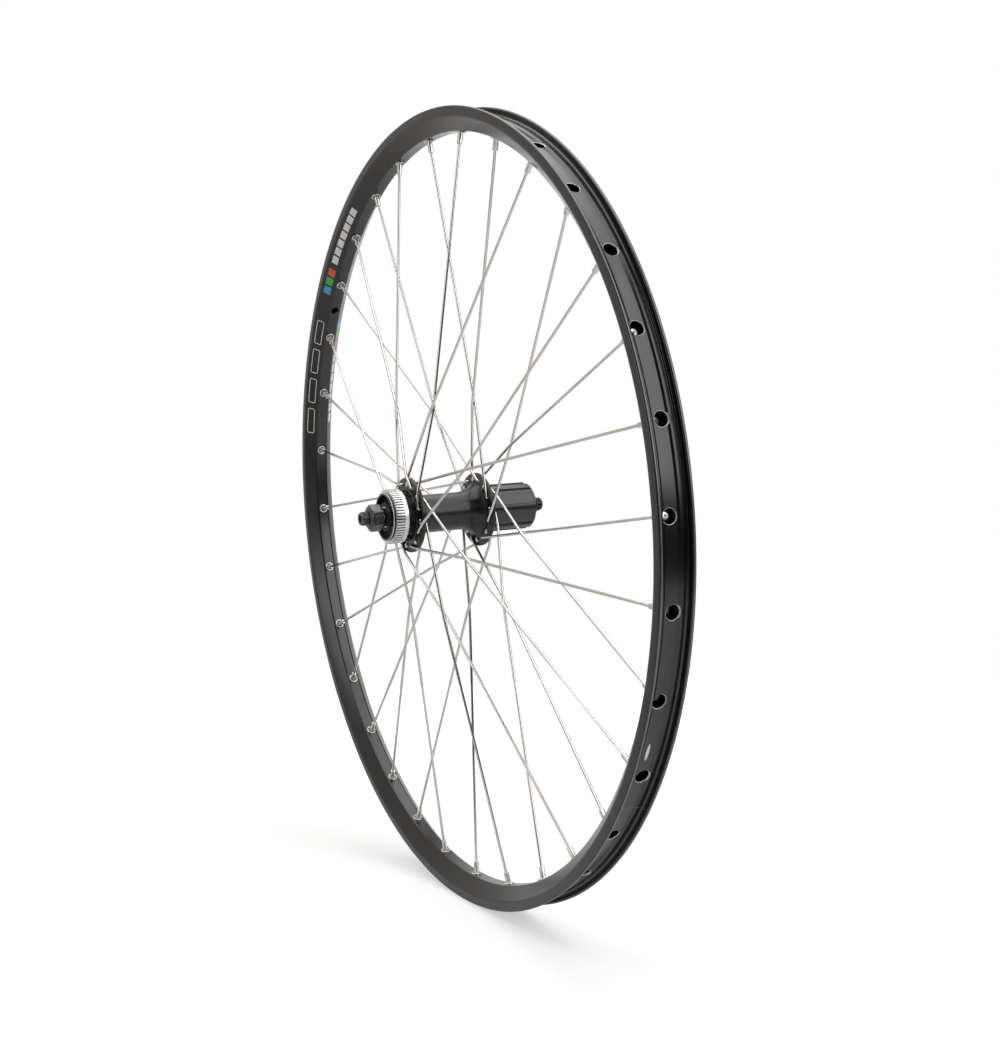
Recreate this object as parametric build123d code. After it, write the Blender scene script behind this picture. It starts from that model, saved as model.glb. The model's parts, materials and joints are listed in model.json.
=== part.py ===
from build123d import *
import os
from math import asin, atan2, cos, degrees, radians, sin, sqrt, tan

# A rear bicycle wheel for a disc brake: a double-wall rim with eyelets, three-cross spokes and a
# cup-and-cone hub with a splined freehub. The axle lies along Y and the wheel's centre is the origin.
# The disc's side is -Y and the freehub's side is +Y. Angles about the axle run from +X towards +Z.
# All sizes are in millimetres.

# Rim: the section, then its holes
bead_seat_dia = 559.0
rim_flange_height = 5.5
rim_height = 16.6
rim_width = 25.0
rim_flange_wall = 2.0
sidewall_height = 6.8
rim_floor_width = 9.2
bead_hook_height = 2.8
bead_hook_reach = 0.7
bead_ledge_width = 3.2
well_slope_width = 2.2
well_depth = 3.0
bridge_wall = 1.4
rim_floor_wall = 1.6
rim_side_wall = 1.5
rim_edge_round = 1.1
sidewall_round = 3.0
floor_corner_round = 2.0
ledge_round = 0.6
nipple_access_gap = 1.85
valve_hole_dia = 6.5
valve_angle = 140.625

# Spokes
spoke_count = 32
crossings = 3
spoke_dia = 2.0
spoke_head_overhang = 0.9
spoke_head_height = 1.1
spoke_head_round = 0.5
elbow_inner_bend = 0.4
flange_edge_bend = 15.0
lacing_bend = 25.0
spoke_flange_gap = 0.05
lacing_gap = 0.1
thread_gap = 0.02

# Nipples and eyelets
nipple_wall = 0.9
nipple_flat_depth = 0.25
nipple_reach = 8.7
nipple_tip_chamfer = 0.4
nipple_head_overhang = 0.3
nipple_head_height = 1.0
driver_slot_width = 1.0
driver_slot_depth = 0.7
eyelet_nipple_gap = 0.55
eyelet_wall = 0.45
eyelet_mouth_wall = 0.05
eyelet_flange_overhang = 0.7
eyelet_flange_thickness = 0.9
eyelet_edge_chamfer = 0.45

# Axle, locknuts and the places of the hub along it
over_locknuts = 135.0
axle_stick_out = 5.5
axle_dia = 10.0
axle_bore_dia = 5.3
axle_end_chamfer = 0.6
left_locknut_length = 9.5
right_locknut_length = 6.0
locknut_wall = 3.5
locknut_nose_wall = 1.25
locknut_nose_length = 2.2
left_washer_width = 2.8
left_washer_thickness = 1.0
disc_boss_setback = 13.2
freehub_setback = 0.5

# Bearings: one row of balls at each end of the hub
ball_dia = 6.35
ball_count = 9
ball_circle_dia = 19.8
race_gap = 0.05
left_bearing_depth = 10.3
right_bearing_depth = 6.0
cup_wall = 0.875
cup_floor_wall = 0.725
cup_lip_wall = 0.925
cup_mouth_step = 1.7
cup_throat_step = 1.3
cone_nose_step = 3.3
cone_nose_setback = 0.675
cone_shoulder_step = 0.6
cone_shoulder_gap = 0.025
cone_shoulder_length = 1.4
cone_wall = 2.5
cone_flat_depth = 1.0
cone_flats_length = 3.0
dust_cap_thickness = 1.2
dust_cap_gap = 0.9
cone_seal_width = 2.9
cone_seal_thickness = 1.6
right_spacer_width = 2.0
right_cover_gap = 0.4
right_cover_thickness = 1.0
right_cover_inset = 0.4

# Hub shell, with the disc mount on its left end
lock_bore_step = 1.5
disc_lip_wall = 1.8
disc_lip_length = 1.6
disc_ring_step = 2.2
disc_ring_length = 9.4
disc_neck_step = 1.3
disc_boss_length = 17.8
disc_spline_length = 6.4
disc_spline_depth = 0.9
disc_spline_teeth = 58
disc_spline_gap_share = 0.44
hub_flange_height = 8.8
hub_flange_thickness = 3.0
hub_flange_round = 0.8
spoke_hole_gap = 0.3
spoke_hole_inset = 4.5
barrel_axle_gap = 4.5
barrel_wall = 4.3
left_shoulder_step = 5.5
left_shoulder_length = 4.5
bell_step = 2.5
bell_length = 15.5
right_boss_step = 4.5
right_boss_length = 3.5

# Freehub
freehub_length = 35.0
freehub_spline_height = 1.2
freehub_splines = 9
freehub_groove_degrees = 22.0
index_groove_degrees = 15.0
freehub_seal_thickness = 0.7
freehub_seal_inset = 0.2
side_gap = 0.3
journal_gap = 0.08
core_step = 1.0
core_spigot_wall = 3.5
core_spigot_length = 6.0
core_bolt_gap = 0.3
cup_thread_step = 1.0
cup_thread_wall = 1.7
cup_thread_length = 5.0
lock_thread_step = 1.0
lock_thread_wall = 1.2
lock_thread_length = 7.0
bolt_axle_gap = 0.8
bolt_wall = 2.2
bolt_shank_length = 15.0
bolt_head_overhang = 1.3
bolt_head_length = 5.0
bolt_socket_step = 0.7
bolt_socket_depth = 4.0
bolt_seat_depth = 2.0
bolt_web_length = 8.0

# Ratchet and pawls inside the freehub
ratchet_teeth = 24
ratchet_gap = 0.6
ratchet_tooth_depth = 1.0
ratchet_ramp_share = 0.87
ratchet_inset = 2.0
ratchet_length = 9.0
pawl_count = 2
pawl_width = 7.0
pawl_inset = 0.1
pawl_thickness = 2.2
pawl_degrees = 36.0
pawl_lift_degrees = 8.0
pawl_gap = 0.25
pawl_tip_gap_degrees = 1.0

# Rim, spoke and nipple sizes that follow from the sizes above
rim_outer_r = bead_seat_dia / 2 + rim_flange_height
rim_inner_r = rim_outer_r - rim_height
bead_seat_r = bead_seat_dia / 2
well_r = bead_seat_r - well_depth
rim_half_width = rim_width / 2
rim_inner_half_width = rim_half_width - rim_flange_wall
spoke_r = spoke_dia / 2
elbow_bend = spoke_r + elbow_inner_bend
spoke_head_dia = spoke_dia + 2 * spoke_head_overhang
spoke_hole_dia = spoke_dia + 2 * spoke_hole_gap
nipple_dia = spoke_dia + 2 * nipple_wall
nipple_flats = nipple_dia - 2 * nipple_flat_depth
eyelet_top_bore_dia = nipple_dia + 2 * eyelet_nipple_gap
eyelet_barrel_dia = eyelet_top_bore_dia + 2 * eyelet_wall
eyelet_mouth_bore_dia = eyelet_barrel_dia - 2 * eyelet_mouth_wall
eyelet_flange_dia = eyelet_barrel_dia + 2 * eyelet_flange_overhang
nipple_head_dia = eyelet_top_bore_dia + 2 * nipple_head_overhang
access_hole_dia = nipple_head_dia + 2 * nipple_access_gap
hole_pitch = 360.0 / spoke_count
cross_degrees = 2 * crossings * hole_pitch

# The nipple's round head rests on the upper edge of the eyelet's bore, so its centre lies above that edge.
nipple_seat_r = rim_inner_r + rim_floor_wall + sqrt(nipple_head_dia**2 - eyelet_top_bore_dia**2) / 2

# Diameters from the axle and the balls outwards
axle_r = axle_dia / 2
locknut_flats = axle_dia + 2 * locknut_wall
cone_neck_dia = axle_dia + 2 * cone_wall
right_spacer_dia = axle_dia + 2 * right_spacer_width
ball_r = ball_dia / 2
ball_circle_r = ball_circle_dia / 2
race_r = ball_r + race_gap
cup_dia = ball_circle_dia + 2 * (race_r + cup_wall)
cup_inner_reach = ball_r + cup_floor_wall
cup_outer_reach = ball_r + cup_lip_wall
cone_shoulder_dia = ball_circle_dia - 2 * cone_shoulder_step
lock_bore_dia = cup_dia + 2 * lock_bore_step
disc_lip_dia = lock_bore_dia + 2 * disc_lip_wall
disc_ring_dia = disc_lip_dia + 2 * disc_ring_step
disc_neck_dia = disc_ring_dia - 2 * disc_neck_step
hub_flange_dia = disc_neck_dia + 2 * hub_flange_height
spoke_circle_dia = hub_flange_dia - 2 * spoke_hole_inset
barrel_bore_dia = axle_dia + 2 * barrel_axle_gap
barrel_dia = barrel_bore_dia + 2 * barrel_wall
left_shoulder_dia = spoke_circle_dia - 2 * left_shoulder_step
bell_dia = spoke_circle_dia - 2 * bell_step
right_boss_dia = spoke_circle_dia - 2 * right_boss_step
bolt_bore_dia = axle_dia + 2 * bolt_axle_gap
bolt_shank_dia = bolt_bore_dia + 2 * bolt_wall
bolt_head_dia = bolt_shank_dia + 2 * bolt_head_overhang
bolt_socket_flats = bolt_bore_dia + 2 * bolt_socket_step
core_dia = cup_dia - 2 * core_step
core_spigot_dia = bolt_shank_dia + 2 * core_spigot_wall
core_bolt_room_dia = bolt_head_dia + 2 * core_bolt_gap
cup_thread_dia = core_dia - 2 * cup_thread_step
lock_thread_dia = cup_dia + 2 * lock_thread_step
freehub_root_dia = lock_thread_dia + 2 * lock_thread_wall
freehub_crest_dia = freehub_root_dia + 2 * freehub_spline_height
ratchet_crest_dia = core_dia + 2 * ratchet_gap
ratchet_root_dia = ratchet_crest_dia + 2 * ratchet_tooth_depth
pawl_outer_r = core_dia / 2 - pawl_inset
pawl_inner_r = pawl_outer_r - pawl_thickness
pawl_heel_r = pawl_outer_r - pawl_thickness / 2

# Places along the axle, from each locknut's outer face inwards
left_locknut_face = -over_locknuts / 2
left_cone_end = left_locknut_face + left_locknut_length + left_washer_thickness
disc_boss_end = left_locknut_face + disc_boss_setback
left_flange_place = disc_boss_end + disc_boss_length + hub_flange_thickness / 2
left_ball_place = disc_boss_end + left_bearing_depth
left_cup_end = left_ball_place - cup_outer_reach
right_locknut_face = over_locknuts / 2
right_locknut_start = right_locknut_face - right_locknut_length
freehub_end = right_locknut_start - freehub_setback
freehub_start = freehub_end - freehub_length
right_boss_end = freehub_start - side_gap - freehub_seal_thickness
right_flange_place = right_boss_end - right_boss_length - hub_flange_thickness / 2
right_ball_place = freehub_end - right_bearing_depth
right_cup_start = right_ball_place - cup_inner_reach
right_cone_end = right_ball_place + ball_r + cone_shoulder_gap + cone_shoulder_length
ratchet_start = freehub_start + ratchet_inset
bolt_seat = right_boss_end + bolt_seat_depth

# Which flange each rim hole's spoke comes from, and which way it turns about the axle on its way out:
# the pattern repeats every four holes. Spokes that turn by plus lie on the -Y face of their flange.
LEFT, RIGHT = -1, 1
lacing = ((RIGHT, 1), (LEFT, -1), (RIGHT, -1), (LEFT, 1))
flange_place = {LEFT: left_flange_place, RIGHT: right_flange_place}


def turned(outline):
    """A solid turned about the axle from a closed outline of (radius, place along the axle) points."""
    return revolve(make_face(Polyline(*outline, close=True)), Axis.Y)


def ring(outer_dia, inner_dia, start, end):
    """A plain ring about the axle between two places along it."""
    inner_r, outer_r = inner_dia / 2, outer_dia / 2
    return turned([(inner_r, start), (outer_r, start), (outer_r, end), (inner_r, end)])


def turned_about_z(outline):
    """A solid turned about local Z from a closed outline of (radius, height) points."""
    return revolve(Plane.XZ * make_face(Polyline(*outline, close=True)), Axis.Z)


def about_axle(angle):
    """The turn about the axle that carries +X to the given angle."""
    return Rot(0, -angle, 0)


def radial_frame(angle, radius):
    """A frame at a radius whose local +Z points away from the axle."""
    return about_axle(angle) * Pos(radius, 0, 0) * Rot(0, 90, 0)


def across_axle(sketch, start, length):
    """Extrude a sketch drawn in (X, Z) along the axle, from a place towards +Y."""
    plane = Plane(origin=(0, start, 0), x_dir=(1, 0, 0), z_dir=(0, -1, 0))
    return extrude(plane * sketch, -length)


def sector(inner_r, outer_r, start_angle, end_angle):
    """A flat piece of a ring between two angles."""
    reach = 2 * outer_r
    middle = (start_angle + end_angle) / 2
    corners = [(reach * cos(radians(a)), reach * sin(radians(a))) for a in (start_angle, middle, end_angle)]
    return (Circle(outer_r) - Circle(inner_r)) & make_face(Polyline((0, 0), *corners, close=True))


def make_rim():
    """The extruded double-wall ring, drilled for eyelets, nipple access and the valve."""
    crease_r = rim_outer_r - sidewall_height
    floor_half = rim_floor_width / 2
    well_edge = rim_inner_half_width - bead_ledge_width
    hook_half = rim_inner_half_width - bead_hook_reach
    half = [
        (well_r, well_edge - well_slope_width, ledge_round),
        (bead_seat_r, well_edge, ledge_round),
        (bead_seat_r, rim_inner_half_width, ledge_round),
        (rim_outer_r - bead_hook_height, rim_inner_half_width, ledge_round),
        (rim_outer_r - bead_hook_height / 2, hook_half, ledge_round),
        (rim_outer_r, hook_half, rim_edge_round),
        (rim_outer_r, rim_half_width, rim_edge_round),
        (crease_r, rim_half_width, sidewall_round),
        (rim_inner_r, floor_half, floor_corner_round),
    ]
    section = half + [(r, -y, round_r) for r, y, round_r in reversed(half)]
    outline = FilletPolyline(
        *[(r, y) for r, y, _ in section],
        radius=[round_r for _, _, round_r in section],
        close=True,
    )

    # The closed tunnel follows the slanted walls, the floor and the bridge under the tyre well.
    slope = (rim_half_width - floor_half) / (crease_r - rim_inner_r)
    tunnel_floor = rim_inner_r + rim_floor_wall

    def tunnel_half(radius):
        return floor_half + (radius - rim_inner_r) * slope - rim_side_wall * sqrt(1 + slope**2)

    tunnel = [
        (tunnel_floor, tunnel_half(tunnel_floor)),
        (bead_seat_r - bridge_wall, tunnel_half(bead_seat_r - bridge_wall)),
        (bead_seat_r - bridge_wall, well_edge),
        (well_r - bridge_wall, well_edge - well_slope_width),
    ]
    tunnel += [(r, -y) for r, y in reversed(tunnel)]
    rim = revolve(make_face(outline), Axis.Y) - turned(tunnel)

    tunnel_middle = (tunnel_floor + well_r - bridge_wall) / 2
    floor_drill = Cylinder(eyelet_barrel_dia / 2, rim_height, align=(Align.CENTER, Align.CENTER, Align.MAX))
    bridge_drill = Cylinder(access_hole_dia / 2, rim_height, align=(Align.CENTER, Align.CENTER, Align.MIN))
    valve_drill = Cylinder(valve_hole_dia / 2, 2 * rim_height)
    drills = [radial_frame(valve_angle, tunnel_middle) * valve_drill]
    for hole in range(spoke_count):
        frame = radial_frame(hole * hole_pitch, tunnel_middle)
        drills += [frame * floor_drill, frame * bridge_drill]
    return rim - drills


def make_eyelets():
    """One flanged ferrule in each spoke hole of the rim, its barrel as long as the floor is thick."""
    flange_r = eyelet_flange_dia / 2
    barrel_r = eyelet_barrel_dia / 2
    # A flat flange on the hollow of the rim's floor touches it at two edges, this far below the middle.
    seat = sqrt(rim_inner_r**2 - flange_r**2) - rim_inner_r
    face = seat - eyelet_flange_thickness
    eyelet = turned_about_z(
        [
            (eyelet_mouth_bore_dia / 2, face),
            (flange_r - eyelet_edge_chamfer, face),
            (flange_r, face + eyelet_edge_chamfer),
            (flange_r, seat),
            (barrel_r, seat),
            (barrel_r, rim_floor_wall),
            (eyelet_top_bore_dia / 2, rim_floor_wall),
        ]
    )
    return Compound([radial_frame(hole * hole_pitch, rim_inner_r) * eyelet for hole in range(spoke_count)])


def spoke_points(side, turn):
    """The corners of a spoke's centre line, for a hub hole at angle zero.

    Each spoke lies flat on one face of its flange. At its last crossing it passes to the other side of the
    spoke that it meets there, so the pair is laced.
    """
    lies = -turn
    place = flange_place[side]
    hub_r = spoke_circle_dia / 2
    rim_angle = radians(turn * cross_degrees)
    hub = Vector(hub_r, 0, 0)
    run = Vector(nipple_seat_r * cos(rim_angle), 0, nipple_seat_r * sin(rim_angle)) - hub

    def along(share, y):
        return hub + run * share + Vector(0, y, 0)

    head_y = place - lies * hub_flange_thickness / 2
    leg_y = place + lies * (hub_flange_thickness / 2 + spoke_r + spoke_flange_gap)
    rim_half = radians(hole_pitch)
    hub_half = radians(cross_degrees) - rim_half
    hub_offset = hub_r * sin(hub_half)
    cross_share = hub_offset / (hub_offset + nipple_seat_r * sin(rim_half))
    cross_y = place * (1 - cross_share) - lies * (spoke_r + lacing_gap / 2)
    points = [along(0, head_y), along(0, leg_y)]
    if lies == side:
        # Outside the flange the spoke stays flat until it has passed the flange's edge, and bends there.
        lean = hub.dot(run) / run.length
        bend_r = hub_flange_dia / 2 + spoke_r
        flat = sqrt(lean**2 + bend_r**2 - hub_r**2) - lean
        bend_turn = atan2(abs(leg_y - cross_y), cross_share * run.length - flat)
        edge_share = (flat + flange_edge_bend * tan(bend_turn / 2)) / run.length
        points.append(along(edge_share, leg_y))
    points += [along(cross_share, cross_y), along(1, 0)]
    return points


def make_spoke(side, turn):
    """A bent round wire with a mushroom head, for a hub hole at angle zero."""
    points = spoke_points(side, turn)
    bends = [elbow_bend] + [flange_edge_bend] * (len(points) - 4) + [lacing_bend]
    line = FilletPolyline(*points, radius=bends)
    wire = sweep(Plane(line @ 0, z_dir=line % 0) * Circle(spoke_r), path=line)
    head_r = spoke_head_dia / 2
    head = turned_about_z(
        [
            (0, 0),
            (head_r, 0),
            (head_r, spoke_head_height - spoke_head_round),
            (head_r - spoke_head_round, spoke_head_height),
            (0, spoke_head_height),
        ]
    )
    return wire + Plane(line @ 0, z_dir=-(line % 0)).location * head


def make_nipple():
    """A nipple about local Z, with the centre of its round head at the origin and its tip below."""
    head_r = nipple_head_dia / 2
    shank_r = nipple_dia / 2
    tip = rim_inner_r - nipple_reach - nipple_seat_r
    shank_top = -sqrt(head_r**2 - shank_r**2)
    shank = turned_about_z(
        [
            (0, tip),
            (shank_r - nipple_tip_chamfer, tip),
            (shank_r, tip + nipple_tip_chamfer),
            (shank_r, 0),
            (0, 0),
        ]
    )
    flats_height = shank_top - tip - rim_floor_wall - eyelet_flange_thickness
    flats = Pos(0, 0, tip + flats_height / 2) * Box(nipple_flats, nipple_flats, flats_height)
    above = Pos(0, 0, tip + flats_height) * Cylinder(
        shank_r, -tip, align=(Align.CENTER, Align.CENTER, Align.MIN)
    )
    head_top = Pos(0, 0, nipple_head_height) * Box(
        nipple_head_dia, nipple_head_dia, nipple_head_dia, align=(Align.CENTER, Align.CENTER, Align.MIN)
    )
    slot = Pos(0, 0, nipple_head_height) * Box(nipple_head_dia, driver_slot_width, 2 * driver_slot_depth)
    bore_r = spoke_r + thread_gap
    bore = Cylinder(bore_r, -2 * tip)
    return (shank & (flats + above)) + Sphere(head_r) - head_top - slot - bore


def make_laced_spokes():
    """All the spokes by rim hole, and the nipples that they are screwed into."""
    nipple = make_nipple()
    patterns = {}
    for side, turn in lacing:
        points = spoke_points(side, turn)
        pull = points[-1] - points[-2]
        patterns[side, turn] = (
            make_spoke(side, turn),
            Plane(points[-1], x_dir=pull.cross(Vector(0, 1, 0)), z_dir=pull).location * nipple,
        )
    spokes, nipples = {}, []
    for hole in range(spoke_count):
        side, turn = lacing[hole % len(lacing)]
        place = about_axle(hole * hole_pitch - turn * cross_degrees)
        spoke, fitted_nipple = patterns[side, turn]
        spokes[f"spoke_{hole + 1:02d}"] = place * spoke
        nipples.append(place * fitted_nipple)
    return spokes, Compound(nipples)


def make_hub_shell():
    """The forged shell: disc boss, two flanges, barrel and bell, bored for cup, bolt and freehub."""
    half_flange = hub_flange_thickness / 2
    flange_r = hub_flange_dia / 2
    barrel_r = barrel_dia / 2
    bell_r = bell_dia / 2
    left_outer = left_flange_place - half_flange
    left_inner = left_flange_place + half_flange
    right_inner = right_flange_place - half_flange
    right_outer = right_flange_place + half_flange
    ring_start = disc_boss_end + disc_lip_length
    ring_end = ring_start + disc_ring_length
    cap_face = left_cup_end - dust_cap_thickness
    cup_floor = left_ball_place + cup_inner_reach
    spigot_floor = right_boss_end - core_spigot_length
    bell_start = right_inner - bell_length
    left_side = Polyline(
        (lock_bore_dia / 2, disc_boss_end),
        (disc_lip_dia / 2, disc_boss_end),
        (disc_lip_dia / 2, ring_start),
        (disc_ring_dia / 2, ring_start),
        (disc_ring_dia / 2, ring_end),
        (disc_neck_dia / 2, ring_end),
        (disc_neck_dia / 2, left_outer),
        (flange_r - hub_flange_round, left_outer),
        (flange_r, left_outer + hub_flange_round),
        (flange_r, left_inner - hub_flange_round),
        (flange_r - hub_flange_round, left_inner),
        (left_shoulder_dia / 2, left_inner),
        (barrel_r, left_inner + left_shoulder_length),
        (barrel_r, bell_start),
    )
    bell_curve = ((bell_r - barrel_r) ** 2 + bell_length**2) / (2 * (bell_r - barrel_r))
    bell_turn = asin(bell_length / bell_curve) / 2
    bell_middle = (
        barrel_r + bell_curve * (1 - cos(bell_turn)),
        bell_start + bell_curve * sin(bell_turn),
    )
    bell = ThreePointArc((barrel_r, bell_start), bell_middle, (bell_r, right_inner))
    right_side = Polyline(
        (bell_r, right_inner),
        (flange_r - hub_flange_round, right_inner),
        (flange_r, right_inner + hub_flange_round),
        (flange_r, right_outer - hub_flange_round),
        (flange_r - hub_flange_round, right_outer),
        (right_boss_dia / 2, right_outer),
        (right_boss_dia / 2, right_boss_end),
        (core_spigot_dia / 2, right_boss_end),
        (core_spigot_dia / 2, spigot_floor),
        (bolt_shank_dia / 2, spigot_floor),
        (bolt_shank_dia / 2, spigot_floor - bolt_web_length),
        (barrel_bore_dia / 2, spigot_floor - bolt_web_length),
        (barrel_bore_dia / 2, cup_floor),
        (cup_dia / 2, cup_floor),
        (cup_dia / 2, cap_face),
        (lock_bore_dia / 2, cap_face),
        (lock_bore_dia / 2, disc_boss_end),
    )
    shell = revolve(make_face(left_side + bell + right_side), Axis.Y)

    pitch = 360.0 / disc_spline_teeth
    gap = sector(disc_ring_dia / 2 - disc_spline_depth, disc_ring_dia, 0, pitch * disc_spline_gap_share)
    gaps = [Rot(0, 0, tooth * pitch) * gap for tooth in range(disc_spline_teeth)]
    shell -= [across_axle(g, ring_start, disc_spline_length) for g in gaps]

    drill = Rot(90, 0, 0) * Cylinder(spoke_hole_dia / 2, 2 * hub_flange_thickness)
    drills = []
    for hole in range(spoke_count):
        side, turn = lacing[hole % len(lacing)]
        angle = hole * hole_pitch - turn * cross_degrees
        drills.append(about_axle(angle) * Pos(spoke_circle_dia / 2, flange_place[side], 0) * drill)
    return shell - drills


def race(place):
    """The ring-shaped room in which a row of balls runs."""
    return Pos(0, place, 0) * Rot(90, 0, 0) * Torus(ball_circle_r, race_r)


def make_cup(place, out):
    """A hardened bearing cup round a row of balls. out is the axial sign of its open side."""
    mouth_r = ball_circle_r + cup_mouth_step
    throat_r = ball_circle_r - cup_throat_step
    outline = [
        (cup_dia / 2, -cup_inner_reach),
        (cup_dia / 2, cup_outer_reach),
        (mouth_r, cup_outer_reach),
        (mouth_r, ball_r / 2),
        (throat_r, -ball_r + race_gap),
        (throat_r, -cup_inner_reach),
    ]
    return turned([(r, place + out * w) for r, w in outline]) - race(place)


def make_cone(place, out, end):
    """A bearing cone on the axle, from its nose to the given end, with a race for the balls."""
    nose_reach = ball_r - cone_nose_setback
    shoulder_start = ball_r + cone_shoulder_gap
    outline = [
        (axle_r, -nose_reach),
        (ball_circle_r - cone_nose_step, -nose_reach),
        (cone_shoulder_dia / 2, shoulder_start),
        (cone_shoulder_dia / 2, shoulder_start + cone_shoulder_length),
    ]
    points = [(r, place + out * w) for r, w in outline]
    shoulder_end = points[-1][1]
    if abs(end - shoulder_end) > race_gap:
        points += [(cone_neck_dia / 2, shoulder_end), (cone_neck_dia / 2, end)]
    points.append((axle_r, end))
    return turned(points) - race(place)


def make_balls(place):
    """A full row of bearing balls at a place along the axle."""
    ball = Pos(ball_circle_r, place, 0) * Sphere(ball_r)
    return Compound([about_axle(i * 360.0 / ball_count) * ball for i in range(ball_count)])


def make_left_cone():
    """The left cone, with two flats for a spanner at its outer end."""
    cone = make_cone(left_ball_place, LEFT, left_cone_end)
    flat = Box(cone_neck_dia, cone_flats_length, cone_neck_dia, align=(Align.CENTER, Align.MIN, Align.MIN))
    upper = Pos(0, left_cone_end, cone_neck_dia / 2 - cone_flat_depth) * flat
    return cone - [upper, Rot(0, 180, 0) * upper]


def make_locknut(face, out, length):
    """A hexagon nut with a turned nose towards the frame. face is its outer face."""
    start = min(face, face - out * length)
    across_corners_r = locknut_flats / sqrt(3)
    hexagon = across_axle(RegularPolygon(across_corners_r, 6), start, length)
    cone_start = face - out * locknut_nose_length
    envelope = turned(
        [
            (axle_r, face - out * length),
            (across_corners_r, face - out * length),
            (across_corners_r, cone_start),
            (axle_r + locknut_nose_wall, face),
            (axle_r, face),
        ]
    )
    return hexagon & envelope


def make_axle():
    """The hollow axle, chamfered at both ends."""
    tip = over_locknuts / 2 + axle_stick_out
    bore_r = axle_bore_dia / 2
    return turned(
        [
            (bore_r, -tip),
            (axle_r - axle_end_chamfer, -tip),
            (axle_r, -tip + axle_end_chamfer),
            (axle_r, tip - axle_end_chamfer),
            (axle_r - axle_end_chamfer, tip),
            (bore_r, tip),
        ]
    )


def pawl_sketch(gap, outer_r):
    """The outline of a pressed pawl, or of its pocket with a gap all round. The heel lies at angle zero."""
    heel = Pos(pawl_heel_r, 0) * Circle(pawl_thickness / 2 + gap)
    gap_degrees = degrees(gap / pawl_outer_r)
    return sector(pawl_inner_r - gap, outer_r, -pawl_degrees - gap_degrees, 0) + heel


def make_pawls():
    """The spring pawls, lifted about their heels into the ratchet."""
    start = ratchet_start + (ratchet_length - pawl_width) / 2
    lift = Pos(pawl_heel_r, 0) * Rot(0, 0, pawl_lift_degrees) * Pos(-pawl_heel_r, 0)
    pawl = across_axle(lift * pawl_sketch(0, pawl_outer_r), start, pawl_width)
    return {f"pawl_{i + 1}": about_axle(i * 360.0 / pawl_count) * pawl for i in range(pawl_count)}


def make_freehub_core():
    """The fixed inside of the freehub: a spigot in the hub shell, pawl pockets and a thread for its cup."""
    thread_start = right_cup_start - cup_thread_length
    core = turned(
        [
            (bolt_shank_dia / 2, right_boss_end - core_spigot_length),
            (core_spigot_dia / 2, right_boss_end - core_spigot_length),
            (core_spigot_dia / 2, right_boss_end),
            (core_dia / 2, right_boss_end),
            (core_dia / 2, right_cup_start),
            (cup_thread_dia / 2, right_cup_start),
            (cup_thread_dia / 2, thread_start),
            (core_bolt_room_dia / 2, thread_start),
            (core_bolt_room_dia / 2, bolt_seat),
            (bolt_shank_dia / 2, bolt_seat),
        ]
    )
    width = pawl_width + 2 * pawl_gap
    start = ratchet_start + (ratchet_length - width) / 2
    pocket = across_axle(pawl_sketch(pawl_gap, core_dia), start, width)
    return core - [about_axle(i * 360.0 / pawl_count) * pocket for i in range(pawl_count)]


def make_freehub_bolt():
    """The hollow bolt that holds the freehub's core to the hub shell."""
    bolt = ring(bolt_shank_dia, bolt_bore_dia, bolt_seat - bolt_shank_length, bolt_seat)
    bolt += ring(bolt_head_dia, bolt_bore_dia, bolt_seat, bolt_seat + bolt_head_length)
    socket = RegularPolygon(bolt_socket_flats / sqrt(3), 6)
    return bolt - across_axle(socket, bolt_seat + bolt_head_length - bolt_socket_depth, bolt_socket_depth)


def make_freehub_cup():
    """The right bearing cup, screwed into the freehub's core."""
    cup = make_cup(right_ball_place, RIGHT)
    thread_bore_dia = cup_thread_dia - 2 * cup_thread_wall
    return cup + ring(cup_thread_dia, thread_bore_dia, right_cup_start - cup_thread_length, right_cup_start)


def make_freehub_body():
    """The splined shell that carries the sprockets, with journals and a ratchet inside."""
    ratchet_end = ratchet_start + ratchet_length
    journal_dia = core_dia + 2 * journal_gap
    shoulder = right_cup_start - side_gap
    body = ring(freehub_crest_dia, journal_dia, freehub_start, freehub_end)
    body -= ring(ratchet_crest_dia, 0, ratchet_start, ratchet_end)
    body -= ring(cup_dia + 2 * side_gap, 0, shoulder, freehub_end)
    body -= ring(lock_thread_dia, 0, freehub_end - lock_thread_length, freehub_end)

    pitch = 360.0 / freehub_splines
    grooves = []
    for i in range(freehub_splines):
        width = index_groove_degrees if i == 0 else freehub_groove_degrees
        groove = sector(freehub_root_dia / 2, freehub_crest_dia, i * pitch - width / 2, i * pitch + width / 2)
        grooves.append(across_axle(groove, freehub_start, freehub_length))
    body -= grooves

    # Each gap between teeth has a steep wall behind the lifted pawl's tip and a long ramp ahead of it.
    tooth_pitch = 360.0 / ratchet_teeth
    heel = Vector(pawl_heel_r, 0)
    pressed_tip = Vector(pawl_outer_r, 0).rotate(Axis.Z, -pawl_degrees)
    tip = heel + (pressed_tip - heel).rotate(Axis.Z, pawl_lift_degrees)
    wall_angle = degrees(atan2(tip.Y, tip.X)) - pawl_tip_gap_degrees
    ramp_angle = wall_angle + tooth_pitch * ratchet_ramp_share
    inner_r, root_r = ratchet_crest_dia / 2, ratchet_root_dia / 2
    gap = make_face(
        Polyline(
            (inner_r * cos(radians(wall_angle)), inner_r * sin(radians(wall_angle))),
            (root_r * cos(radians(wall_angle)), root_r * sin(radians(wall_angle))),
            (inner_r * cos(radians(ramp_angle)), inner_r * sin(radians(ramp_angle))),
            close=True,
        )
    )
    gaps = [Rot(0, 0, tooth * tooth_pitch) * gap for tooth in range(ratchet_teeth)]
    return body - [across_axle(g, ratchet_start, ratchet_length) for g in gaps]


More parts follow.
